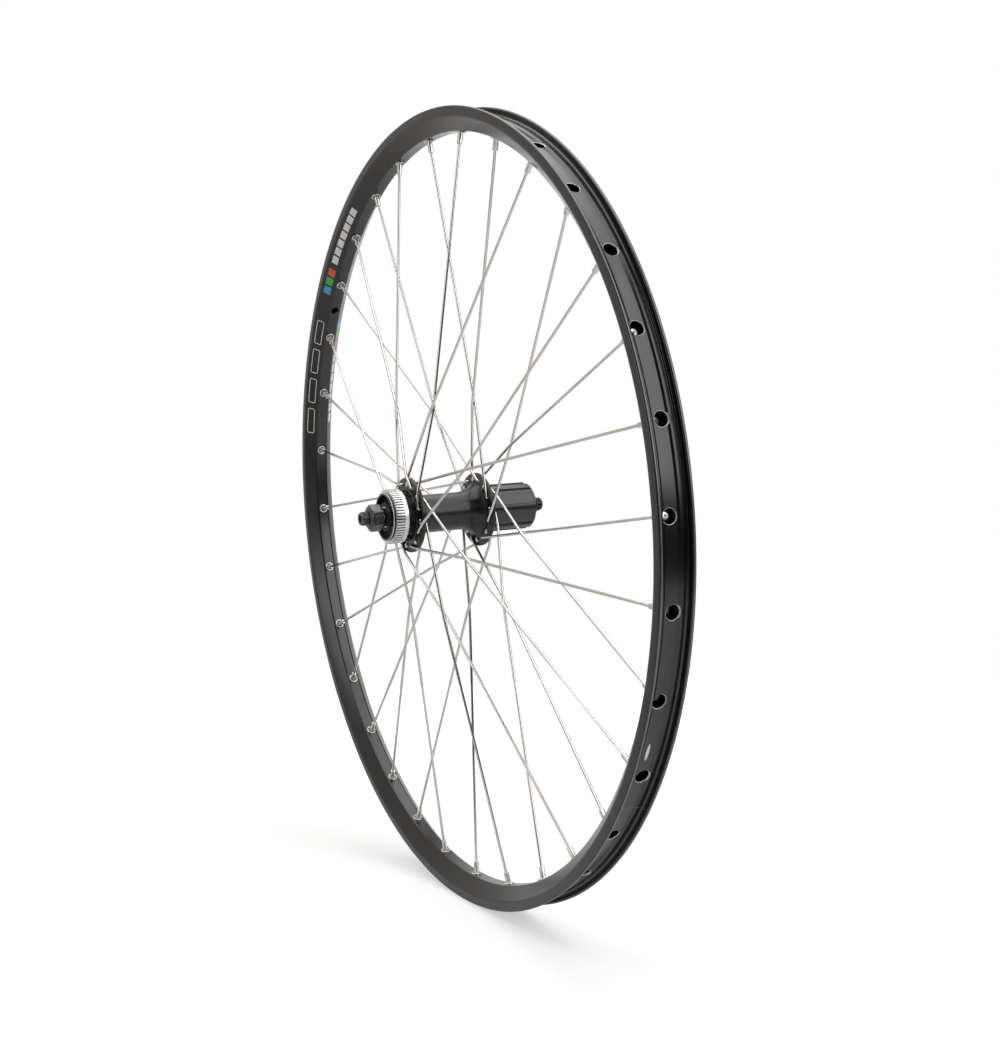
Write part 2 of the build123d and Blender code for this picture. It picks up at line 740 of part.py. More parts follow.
spokes, nipples = make_laced_spokes()
nodes = {
    "rim": make_rim(),
    "rim_eyelets": make_eyelets(),
    "spoke_nipples": nipples,
    **spokes,
    "hub_shell": make_hub_shell(),
    "left_bearing_cup": make_cup(left_ball_place, LEFT),
    "left_dust_cap": ring(
        cup_dia,
        cone_shoulder_dia + 2 * dust_cap_gap,
        left_cup_end - dust_cap_thickness,
        left_cup_end,
    ),
    "left_bearing_balls": make_balls(left_ball_place),
    "right_bearing_balls": make_balls(right_ball_place),
    "axle": make_axle(),
    "left_cone": make_left_cone(),
    "left_cone_seal": ring(
        cone_neck_dia + 2 * cone_seal_width,
        cone_neck_dia,
        left_cone_end + cone_flats_length,
        left_cone_end + cone_flats_length + cone_seal_thickness,
    ),
    "left_washer": ring(
        axle_dia + 2 * left_washer_width,
        axle_dia,
        left_cone_end - left_washer_thickness,
        left_cone_end,
    ),
    "left_locknut": make_locknut(left_locknut_face, LEFT, left_locknut_length),
    "right_cone": make_cone(right_ball_place, RIGHT, right_cone_end),
    "right_spacer": ring(right_spacer_dia, axle_dia, right_cone_end, right_locknut_start),
    "right_dust_cover": ring(
        lock_thread_dia - 2 * right_cover_gap,
        right_spacer_dia,
        freehub_end - right_cover_inset - right_cover_thickness,
        freehub_end - right_cover_inset,
    ),
    "right_locknut": make_locknut(right_locknut_face, RIGHT, right_locknut_length),
    "freehub_core": make_freehub_core(),
    "freehub_bolt": make_freehub_bolt(),
    "freehub_cup": make_freehub_cup(),
    "freehub_seal": ring(
        freehub_root_dia - 2 * freehub_seal_inset,
        core_dia,
        right_boss_end,
        right_boss_end + freehub_seal_thickness,
    ),
    "freehub_body": make_freehub_body(),
    **make_pawls(),
}

os.makedirs("parts", exist_ok=True)
for name, shape in nodes.items():
    export_step(shape, f"parts/{name}.step")
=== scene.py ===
"""A bicycle rear wheel for a disc brake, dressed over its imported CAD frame.

The frame is the wheel's own: the axle lies along Y with the disc's side at -Y, +Z is up, and angles about the
axle run from +X towards +Z. Sizes are in millimetres until a finished mesh is scaled to metres.
"""

import json
import logging
from dataclasses import dataclass
from enum import Enum
from math import atan2, cos, hypot, pi, radians, sin, sqrt, tan

import bmesh
import bpy
from bmesh.types import BMEdge, BMesh, BMFace, BMVert
from bpy.types import Material, Node, NodeSocket, NodeTree, Object
from mathutils import Matrix, Vector

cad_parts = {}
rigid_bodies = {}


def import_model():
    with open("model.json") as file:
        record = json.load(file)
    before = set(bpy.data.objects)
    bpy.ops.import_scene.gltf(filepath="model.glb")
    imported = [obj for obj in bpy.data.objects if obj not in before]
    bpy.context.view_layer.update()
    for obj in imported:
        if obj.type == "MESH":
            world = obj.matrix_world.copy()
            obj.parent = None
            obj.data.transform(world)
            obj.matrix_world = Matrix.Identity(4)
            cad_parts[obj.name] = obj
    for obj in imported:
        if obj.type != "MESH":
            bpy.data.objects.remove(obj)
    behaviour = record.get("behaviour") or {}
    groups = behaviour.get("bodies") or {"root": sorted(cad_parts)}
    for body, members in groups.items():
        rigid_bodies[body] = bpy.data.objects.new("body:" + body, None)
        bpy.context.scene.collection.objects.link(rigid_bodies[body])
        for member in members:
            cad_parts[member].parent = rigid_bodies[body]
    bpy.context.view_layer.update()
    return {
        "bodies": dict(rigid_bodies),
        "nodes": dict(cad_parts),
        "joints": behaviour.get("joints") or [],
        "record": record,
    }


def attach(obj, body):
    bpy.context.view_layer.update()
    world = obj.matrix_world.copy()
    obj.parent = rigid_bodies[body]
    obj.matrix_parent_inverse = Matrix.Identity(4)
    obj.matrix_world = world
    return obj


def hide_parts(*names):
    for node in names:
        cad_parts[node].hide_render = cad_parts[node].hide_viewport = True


LOG = logging.getLogger("wheel")
MM = 0.001
CENTRE = Vector((0.0, 0.0, 0.0))
AXLE = Vector((0.0, 1.0, 0.0))
SHARP_ANGLE = radians(32.0)
CARVING_SLOTS = 3


class Side(Enum):
    """The hub's two ends, by the sign of their place along the axle."""

    LEFT = -1
    RIGHT = 1


class Cut(Enum):
    """How one mesh is carved with another."""

    AWAY = "DIFFERENCE"
    COMMON = "INTERSECT"


class Grain(Enum):
    """The fine marks that a finish carries, by the name of their effect."""

    TURNED = "turning_lines"
    CAST = "mottle"


# Mesh helpers


@dataclass(frozen=True)
class Corner:
    """One corner of a turned outline."""

    radius: float  # Distance from the axis
    place: float  # Place along the axis
    round: float = 0.0  # Radius of the round on the corner
    steps: int = 4  # Segments of that round

    def tangent(self, before: "Corner", after: "Corner") -> float:
        """Find how far along its edges the round begins.

        Args:
            before: The corner that comes before this one.
            after: The corner that comes after it.

        Returns:
            The distance from the corner to the round's end.
        """
        here = Vector((self.radius, self.place))
        one = Vector((before.radius, before.place)) - here
        two = Vector((after.radius, after.place)) - here
        return self.round / tan(one.angle(two) / 2)


def mirrored(corners: list[Corner]) -> list[Corner]:
    """The same corners on the other side of the middle plane, in the order that closes the outline."""
    return [Corner(c.radius, -c.place, c.round, c.steps) for c in reversed(corners)]


def bevelled(mesh: BMesh, geom: list[BMVert] | list[BMEdge], offset: float, segments: int, affect: str) -> None:
    """Round some corners or edges of a mesh.

    Args:
        mesh: The mesh.
        geom: Its corners or edges to round.
        offset: How far from them the round begins.
        segments: Segments of the round.
        affect: Whether they are VERTICES or EDGES.
    """
    bmesh.ops.bevel(
        mesh, geom=geom, offset=offset, offset_type="OFFSET", segments=segments, profile=0.5, affect=affect, material=-1
    )


def outline(mesh: BMesh, corners: list[Corner]) -> None:
    """Draw a closed outline with rounded corners in the XY plane, without its face.

    Args:
        mesh: The empty mesh that takes the outline.
        corners: The corners in order.
    """
    verts = [mesh.verts.new((c.radius, c.place, 0.0)) for c in corners]
    mesh.faces.new(verts)
    count = len(corners)
    for i, (vert, corner) in enumerate(zip(verts, corners)):
        if corner.round:
            offset = corner.tangent(corners[i - 1], corners[(i + 1) % count])
            bevelled(mesh, [vert], offset, corner.steps, "VERTICES")
    bmesh.ops.delete(mesh, geom=mesh.faces[:], context="FACES_ONLY")


def turned(corners: list[Corner], steps: int) -> BMesh:
    """Turn a closed outline about the axle.

    Args:
        corners: The outline's corners in order.
        steps: Segments of the full turn.

    Returns:
        A closed mesh with its faces outwards.
    """
    mesh = bmesh.new()
    outline(mesh, corners)
    geom = mesh.verts[:] + mesh.edges[:]
    bmesh.ops.spin(mesh, geom=geom, cent=CENTRE, axis=AXLE, angle=2 * pi, steps=steps, use_merge=True)
    bmesh.ops.recalc_face_normals(mesh, faces=mesh.faces[:])
    return mesh


def turned_ring(inner: float, outer: float, start: float, end: float, edge: float, steps: int = 96) -> BMesh:
    """Turn a plain ring between two radii and two places along the axle, with a round on its edges."""
    corners = [(inner, start), (outer, start), (outer, end), (inner, end)]
    return turned([Corner(r, y, edge, 3) for r, y in corners], steps)


def about_axle(angle: float) -> Matrix:
    """The turn about the axle that carries +X to an angle in degrees."""
    return Matrix.Rotation(-radians(angle), 4, "Y")


def radial_frame(angle: float, radius: float) -> Matrix:
    """A frame at an angle and a radius whose +Z points away from the axle."""
    return about_axle(angle) @ Matrix.Translation((radius, 0.0, 0.0)) @ Matrix.Rotation(pi / 2, 4, "Y")


def lathe_frame() -> Matrix:
    """The turn that stands a piece turned about the axle upright on +Z."""
    return Matrix.Rotation(pi / 2, 4, "X")


def moved(mesh: BMesh, matrix: Matrix) -> BMesh:
    """Place a whole mesh by a matrix and hand it back."""
    bmesh.ops.transform(mesh, matrix=matrix, verts=mesh.verts[:])
    return mesh


def joined(first: BMesh, *others: BMesh) -> BMesh:
    """Add other meshes to the first one and free them.

    Args:
        first: The mesh that takes the others.
        others: Meshes to add.

    Returns:
        The first mesh.
    """
    for other in others:
        data = bpy.data.meshes.new("joining")
        other.to_mesh(data)
        other.free()
        first.from_mesh(data)
        bpy.data.meshes.remove(data)
    return first


def repeated(mesh: BMesh, count: int) -> BMesh:
    """Repeat a mesh evenly about the axle.

    Args:
        mesh: The first copy, already in place.
        count: How many copies there are in a full turn.

    Returns:
        The same mesh with all the copies in it.
    """
    geom = mesh.verts[:] + mesh.edges[:] + mesh.faces[:]
    last = 2 * pi * (count - 1) / count
    bmesh.ops.spin(mesh, geom=geom, cent=CENTRE, axis=AXLE, angle=last, steps=count - 1, use_duplicate=True)
    return mesh


def arc_block(radii: tuple[float, float], places: tuple[float, float], middle: float, sweep: float) -> BMesh:
    """Make a block that follows an arc about the axle.

    Args:
        radii: Inner and outer radius.
        places: Start and end along the axle.
        middle: Angle of its middle in degrees.
        sweep: Angle that it covers in degrees.

    Returns:
        A closed mesh.
    """
    mesh = bmesh.new()
    corners = [(radii[0], places[0]), (radii[1], places[0]), (radii[1], places[1]), (radii[0], places[1])]
    face = mesh.faces.new([mesh.verts.new((r, y, 0.0)) for r, y in corners])
    steps = max(2, round(sweep / 2))
    bmesh.ops.spin(mesh, geom=[face], cent=CENTRE, axis=AXLE, angle=-radians(sweep), steps=steps)
    bmesh.ops.recalc_face_normals(mesh, faces=mesh.faces[:])
    return moved(mesh, about_axle(middle - sweep / 2))


def drill(radius: float, bottom: float, top: float, sides: int = 40) -> BMesh:
    """Make a plain drill along +Z.

    Args:
        radius: The drill's radius.
        bottom: Height of its lower end.
        top: Height of its upper end.
        sides: Facets round it.

    Returns:
        A closed mesh.
    """
    mesh = bmesh.new()
    middle = Matrix.Translation((0.0, 0.0, (bottom + top) / 2))
    bmesh.ops.create_cone(
        mesh, cap_ends=True, segments=sides, radius1=radius, radius2=radius, depth=top - bottom, matrix=middle
    )
    return mesh


def hexagon(flats: float, start: float, end: float) -> BMesh:
    """Make a hexagon bar along the axle that stands on a corner.

    Args:
        flats: Width across its flats.
        start: Place of one end along the axle.
        end: Place of the other end.

    Returns:
        A closed mesh.
    """
    mesh = bmesh.new()
    corner_r = flats / sqrt(3)
    bmesh.ops.create_cone(mesh, cap_ends=True, segments=6, radius1=corner_r, radius2=corner_r, depth=end - start)
    return moved(mesh, Matrix.Translation((0.0, (start + end) / 2, 0.0)) @ lathe_frame())


def new_object(name: str, mesh: BMesh) -> Object:
    """Make an object of a mesh and free the mesh.

    Args:
        name: The object's name.
        mesh: Its mesh.

    Returns:
        The new object, linked to the scene.
    """
    data = bpy.data.meshes.new(name)
    mesh.to_mesh(data)
    mesh.free()
    obj = bpy.data.objects.new(name, data)
    bpy.context.scene.collection.objects.link(obj)
    return obj


def carved(body: BMesh, tool: BMesh, cut: Cut = Cut.AWAY) -> BMesh:
    """Carve one mesh with another and free both.

    Args:
        body: The mesh to carve.
        tool: The mesh that carves it. Its faces keep their own material numbers in the cut.
        cut: Whether the tool is taken away or the common part is kept.

    Returns:
        The carved mesh.
    """
    objects = [new_object("carving", mesh) for mesh in (body, tool)]
    for obj in objects:
        for _ in range(CARVING_SLOTS):
            obj.data.materials.append(None)
    boolean = objects[0].modifiers.new("carve", "BOOLEAN")
    boolean.operation = cut.value
    boolean.solver = "EXACT"
    boolean.object = objects[1]
    depsgraph = bpy.context.evaluated_depsgraph_get()
    data = bpy.data.meshes.new_from_object(objects[0].evaluated_get(depsgraph))
    result = bmesh.new()
    result.from_mesh(data)
    bpy.data.meshes.remove(data)
    for obj in objects:
        bpy.data.meshes.remove(obj.data)
    return result


def smoothed(mesh: BMesh) -> BMesh:
    """Shade a mesh smooth between its sharp edges.

    Args:
        mesh: The mesh to shade.

    Returns:
        The same mesh.
    """
    for face in mesh.faces:
        face.smooth = True
    for edge in mesh.edges:
        edge.smooth = edge.is_manifold and edge.calc_face_angle() < SHARP_ANGLE
    return mesh


def place_piece(name: str, mesh: BMesh, finishes: list[Material], body: str, nodes: list[str]) -> Object:
    """Scale a finished mesh to metres and set it on its body.

    Args:
        name: The piece's name.
        mesh: Its mesh in millimetres, freed here.
        finishes: Its materials, in the order of the mesh's material numbers.
        body: The body that it rides on.
        nodes: CAD nodes that it stands for.

    Returns:
        The new object.
    """
    obj = new_object(name, moved(smoothed(mesh), Matrix.Scale(MM, 4)))
    for finish in finishes:
        obj.data.materials.append(finish)
    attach(obj, body)
    if nodes:
        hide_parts(*nodes)
    LOG.info("%s: %d faces on %s", name, len(obj.data.polygons), body)
    return obj


# Finishes


class ShaderTree:
    """A node tree with short calls for the nodes that the finishes need."""

    def __init__(self, tree: NodeTree) -> None:
        """Hold a node tree."""
        self.nodes = tree.nodes
        self.links = tree.links

    def add(self, kind: str, **settings: object) -> Node:
        """Add a node and set its options.

        Args:
            kind: The node's type without its ShaderNode prefix.
            settings: Options of the node by name.

        Returns:
            The new node.
        """
        node = self.nodes.new("ShaderNode" + kind)
        for key, value in settings.items():
            setattr(node, key, value)
        return node

    def math(self, operation: str, *values: object) -> NodeSocket:
        """Add a math node.

        Args:
            operation: The node's operation.
            values: Its inputs in order, each a number or a socket.

        Returns:
            The node's output.
        """
        node = self.add("Math", operation=operation)
        for socket, value in zip(node.inputs, values):
            self.feed(socket, value)
        return node.outputs[0]

    def feed(self, socket: NodeSocket, value: object) -> None:
        """Link a socket to an output, or set it to a plain value.

        Args:
            socket: The socket to feed.
            value: The output or the value.
        """
        if isinstance(value, NodeSocket):
            self.links.new(value, socket)
        else:
            socket.default_value = value

    def fill(self, node: Node, values: dict[str, object]) -> None:
        """Feed several inputs of a node, each by its name."""
        for key, value in values.items():
            self.feed(node.inputs[key], value)

    def ramp(self, value: object, low: object, high: object, to_low: object, to_high: object) -> NodeSocket:
        """Map one range of a value smoothly to another.

        Args:
            value: The value to map.
            low: Where the range begins.
            high: Where it ends.
            to_low: The result at its beginning.
            to_high: The result at its end.

        Returns:
            The mapped value.
        """
        node = self.add("MapRange", interpolation_type="SMOOTHSTEP")
        for socket, given in zip(node.inputs, (value, low, high, to_low, to_high)):
            self.feed(socket, given)
        return node.outputs[0]

    def mix(self, share: object, first: object, second: object) -> NodeSocket:
        """Mix two colours.

        Args:
            share: How much of the second one shows.
            first: Colour at zero.
            second: Colour at one.

        Returns:
            The mixed colour.
        """
        node = self.add("Mix", data_type="RGBA")
        for index, given in ((0, share), (6, first), (7, second)):
            self.feed(node.inputs[index], given)
        return node.outputs[2]

    def dot(self, vector: NodeSocket, direction: tuple[float, float, float]) -> NodeSocket:
        """Measure a vector along a direction.

        Args:
            vector: The vector to measure.
            direction: The direction.

        Returns:
            Its length along that direction.
        """
        node = self.add("VectorMath", operation="DOT_PRODUCT")
        self.feed(node.inputs[0], vector)
        self.feed(node.inputs[1], direction)
        return node.outputs["Value"]

    def position(self) -> list[NodeSocket]:
        """Find the place on the object.

        Returns:
            Its X, Y and Z, and its distance from the axle.
        """
        parts = self.add("SeparateXYZ")
        self.feed(parts.inputs[0], self.add("TexCoord").outputs["Object"])
        x, y, z = parts.outputs
        squares = [self.math("MULTIPLY", part, part) for part in (x, z)]
        return [x, y, z, self.math("SQRT", self.math("ADD", *squares))]

    def mask(self, effect: NodeTree, size: float) -> NodeSocket:
        """Place a shared effect.

        Args:
            effect: The effect's node group.
            size: Size of its marks in millimetres.

        Returns:
            The effect's mask.
        """
        node = self.add("Group", node_tree=effect)
        node.inputs["Size"].default_value = size * MM
        return node.outputs["Mask"]


class Effects:
    """The effects that several finishes share."""

    def __init__(self) -> None:
        """Build each effect once."""
        self.mottle = self._mottle()
        self.turning_lines = self._turning_lines()

    @staticmethod
    def _start(name: str, size: float, detail: float) -> tuple[NodeTree, ShaderTree, Node, NodeSocket]:
        """Begin a group with a noise in it.

        Args:
            name: The group's name.
            size: The plain value of its one input, the noise's size in metres.
            detail: The noise's detail.

        Returns:
            The group, its tree, the noise, and the socket that takes the group's mask.
        """
        group = bpy.data.node_groups.new(name, "ShaderNodeTree")
        socket = group.interface.new_socket("Size", in_out="INPUT", socket_type="NodeSocketFloat")
        socket.default_value = size
        group.interface.new_socket("Mask", in_out="OUTPUT", socket_type="NodeSocketFloat")
        tree = ShaderTree(group)
        given = tree.nodes.new("NodeGroupInput").outputs["Size"]
        noise = tree.add("TexNoise")
        noise.inputs["Detail"].default_value = detail
        tree.feed(noise.inputs["Scale"], tree.math("DIVIDE", 1.0, given))
        return group, tree, noise, tree.nodes.new("NodeGroupOutput").inputs["Mask"]

    def _mottle(self) -> NodeTree:
        """Soft patches of a given size in metres.

        Returns:
            The effect's node group.
        """
        group, tree, noise, mask = self._start("mottle", 0.01, 4.0)
        noise.inputs["Roughness"].default_value = 0.6
        tree.feed(noise.inputs["Vector"], tree.add("TexCoord").outputs["Object"])
        tree.feed(mask, tree.ramp(noise.outputs[0], 0.3, 0.7, 0.0, 1.0))
        return group

    def _turning_lines(self) -> NodeTree:
        """Fine lines round the axle of a given spacing in metres, as a tool or a die leaves them.

        Returns:
            The effect's node group.
        """
        group, tree, noise, mask = self._start("turning_lines", 0.0004, 2.0)
        _, place, _, radius = tree.position()
        where = tree.add("CombineXYZ")
        tree.feed(where.inputs[0], radius)
        tree.feed(where.inputs[1], place)
        tree.feed(noise.inputs["Vector"], where.outputs[0])
        tree.feed(mask, noise.outputs[0])
        return group


@dataclass(frozen=True)
class Finish:
    """A metal, rubber or ink finish."""

    name: str  # The material's name
    color: tuple[float, float, float]  # Its colour
    tone: tuple[float, float, float]  # The colour of its patches
    metallic: float  # How metallic it is
    roughness: float  # Its mean roughness
    spread: float  # How far the roughness goes to either side
    patch: float  # Size of the patches in millimetres
    grain: Grain  # The kind of fine marks
    grain_size: float  # Their size in millimetres
    grain_depth: float  # Their depth in millimetres
    coat: float = 0.0  # Weight of a clear coat
    specular: float = 0.5  # Level of the plain gloss
    coat_roughness: float = 0.15  # Roughness of the clear coat

    def build(self, effects: Effects) -> Material:
        """Make the material.

        Args:
            effects: The shared effects.

        Returns:
            The new material.
        """
        material = bpy.data.materials.new(self.name)
        material.use_nodes = True
        tree = ShaderTree(material.node_tree)
        shader = tree.nodes["Principled BSDF"]
        patches = tree.mask(effects.mottle, self.patch)
        marks = tree.mask(getattr(effects, self.grain.value), self.grain_size)
        color = tree.mix(patches, (*self.color, 1.0), (*self.tone, 1.0))
        rough = tree.ramp(patches, 0.0, 1.0, self.roughness - self.spread, self.roughness + self.spread)
        bump = tree.add("Bump")
        tree.fill(bump, {"Distance": self.grain_depth * MM, "Height": marks})
        inputs = {
            "Base Color": self.worn(tree, color),
            "Roughness": rough,
            "Normal": bump.outputs[0],
            "Metallic": self.metallic,
            "Specular IOR Level": self.specular,
            "Coat Weight": self.coat,
            "Coat Roughness": self.coat_roughness,
        }
        tree.fill(shader, inputs)
        return material

    def worn(self, tree: ShaderTree, color: NodeSocket) -> NodeSocket:
        """Leave the colour as it is."""
        return color


@dataclass(frozen=True)
class RimFinish(Finish):
    """The rim's black, with a painted highlight line along the lips, the joint of the hoop and a scrape in the tyre
    channel.
    """

    seam_angle: float = -39.4  # Where the hoop's ends meet, in degrees
    seam_half: float = 0.3  # Half the width of the joint's line in millimetres
    seam_color: tuple[float, float, float] = (0.12, 0.12, 0.12)  # Colour of that line
    scrape_angle: float = -29.8  # Where the scrape lies, in degrees
    scrape_place: float = -0.55  # Its place along the axle in millimetres
    scrape_reach: tuple[float, float] = (6.6, 1.15)  # Its half length and half width in millimetres
    scrape_above: float = 277.8  # Radius above which it shows, in millimetres
    scrape_color: tuple[float, float, float] = (0.95, 0.95, 0.95)  # Colour of the bare metal there
    lip_r: float = 285.0  # Radius of the flanges' lips
    # Where below it the painted highlight line on them starts and is full, in millimetres
    lip_highlight_band: tuple[float, float] = (0.12, 0.02)
    lip_highlight_color: tuple[float, float, float] = (0.16, 0.16, 0.155)  # Colour of that painted highlight line

    def worn(self, tree: ShaderTree, color: NodeSocket) -> NodeSocket:
        """Add the painted highlight line on the lips, the joint's hairline and the scrape.

        Args:
            tree: The material's tree.
            color: The colour so far.

        Returns:
            The new colour.
        """
        x, y, z, radius = tree.position()
        # Painted highlight: a lighter line round the lips' crowns, where the rounded lips catch the light.
        lip = tree.ramp(radius, *((self.lip_r - below) * MM for below in self.lip_highlight_band), 0.0, 1.0)
        seam = tree.math("ABSOLUTE", self._beside(tree, x, z, self.seam_angle))
        line = tree.ramp(seam, 0.5 * self.seam_half * MM, self.seam_half * MM, 1.0, 0.0)
        across = self._beside(tree, x, z, self.scrape_angle)
        along = tree.math("SUBTRACT", y, self.scrape_place * MM)
        spans = [tree.math("DIVIDE", value, reach * MM) for value, reach in zip((across, along), self.scrape_reach)]
        squares = [tree.math("MULTIPLY", span, span) for span in spans]
        on_bed = tree.math("GREATER_THAN", radius, self.scrape_above * MM)
        scrape = tree.math("MULTIPLY", on_bed, tree.ramp(tree.math("ADD", *squares), 0.7, 1.0, 1.0, 0.0))
        # The lips' line is painted highlight; the joint's hairline and the scrape are the rim's own marks.
        for share, bare in ((lip, self.lip_highlight_color), (line, self.seam_color), (scrape, self.scrape_color)):
            color = tree.mix(share, color, (*bare, 1.0))
        return color

    @staticmethod
    def _beside(tree: ShaderTree, x: NodeSocket, z: NodeSocket, angle: float) -> NodeSocket:
        """Distance round the wheel from an angle, far away on the opposite half.

        Args:
            tree: The material's tree.
            x: Place along X.
            z: Place along Z.
            angle: The angle in degrees.

        Returns:
            The distance in metres.
        """
        c, s = cos(radians(angle)), sin(radians(angle))
        across = tree.math("SUBTRACT", tree.math("MULTIPLY", z, c), tree.math("MULTIPLY", x, s))
        outwards = tree.math("ADD", tree.math("MULTIPLY", x, c), tree.math("MULTIPLY", z, s))
        return tree.math("ADD", across, tree.math("LESS_THAN", outwards, 0.0))


class Finishes:
    """Every finish of the wheel, built once."""

    def __init__(self) -> None:
        """Build the shared effects and then each material."""
        self.effects = Effects()
        self.rim_black = self._build(RimFinish(
            "rim_satin_black", (0.006, 0.006, 0.0065), (0.009, 0.0085, 0.008), 0.0, 0.22, 0.02, 30.0,
            Grain.TURNED, 1.1, 0.012, specular=0.75,
        ))
        # Near-white bare finish for machined edges; on the access holes' chamfers it also paints the highlight that
        # their edges catch.
        self.bare_edge_and_highlight = self._build(Finish(
            "bare_aluminium_edge_and_highlight", (0.95, 0.95, 0.94), (0.86, 0.86, 0.85), 0.1, 0.42, 0.08, 1.5,
            Grain.CAST, 0.2, 0.01,
        ))
        self.spoke_steel = self._build(Finish(
            "drawn_stainless", (0.82, 0.8, 0.78), (0.7, 0.67, 0.64), 1.0, 0.14, 0.03, 40.0,
            Grain.CAST, 0.4, 0.0008,
        ))
        self.nipple_plate = self._build(Finish(
            "nickel_plate", (0.86, 0.84, 0.8), (0.7, 0.67, 0.62), 0.8, 0.2, 0.06, 2.0,
            Grain.CAST, 0.25, 0.008,
        ))
        self.eyelet_steel = self._build(Finish(
            "pressed_plated_steel", (0.92, 0.91, 0.89), (0.78, 0.76, 0.74), 0.65, 0.24, 0.06, 2.5,
            Grain.CAST, 0.25, 0.008,
        ))
        self.hub_black = self._build(Finish(
            "hub_gloss_black", (0.006, 0.006, 0.0065), (0.009, 0.009, 0.009), 0.0, 0.28, 0.03, 8.0,
            Grain.TURNED, 0.3, 0.0015, 0.15,
        ))
        self.machined_ring = self._build(Finish(
            "turned_aluminium", (0.95, 0.95, 0.95), (0.88, 0.88, 0.88), 0.85, 0.34, 0.05, 3.0,
            Grain.TURNED, 0.22, 0.004,
        ))
        self.black_steel = self._build(Finish(
            "black_oxide_steel", (0.1, 0.1, 0.104), (0.125, 0.124, 0.125), 0.8, 0.18, 0.04, 4.0,
            Grain.CAST, 0.3, 0.003,
        ))
        self.freehub_steel = self._build(Finish(
            "phosphated_steel", (0.016, 0.016, 0.017), (0.024, 0.023, 0.023), 0.2, 0.24, 0.03, 5.0,
            Grain.TURNED, 0.3, 0.0015, specular=0.85,
        ))
        self.bearing_steel = self._build(Finish(
            "ground_steel", (0.58, 0.58, 0.6), (0.48, 0.48, 0.5), 1.0, 0.16, 0.04, 2.0,
            Grain.TURNED, 0.2, 0.006,
        ))
        self.seal_rubber = self._build(Finish(
            "seal_rubber", (0.012, 0.012, 0.012), (0.022, 0.022, 0.022), 0.0, 0.62, 0.08, 2.0,
            Grain.CAST, 0.3, 0.02,
        ))

    def _build(self, finish: Finish) -> Material:
        """Build one finish with the shared effects."""
        return finish.build(self.effects)

    def ink(self, name: str, color: tuple[float, float, float]) -> Material:
        """Build the material of a film of one colour."""
        worn = tuple(0.92 * part for part in color)
        return self._build(Finish(name, color, worn, 0.0, 0.3, 0.06, 5.0, Grain.CAST, 0.6, 0.008, 0.3))


# The wheel's sub-assemblies


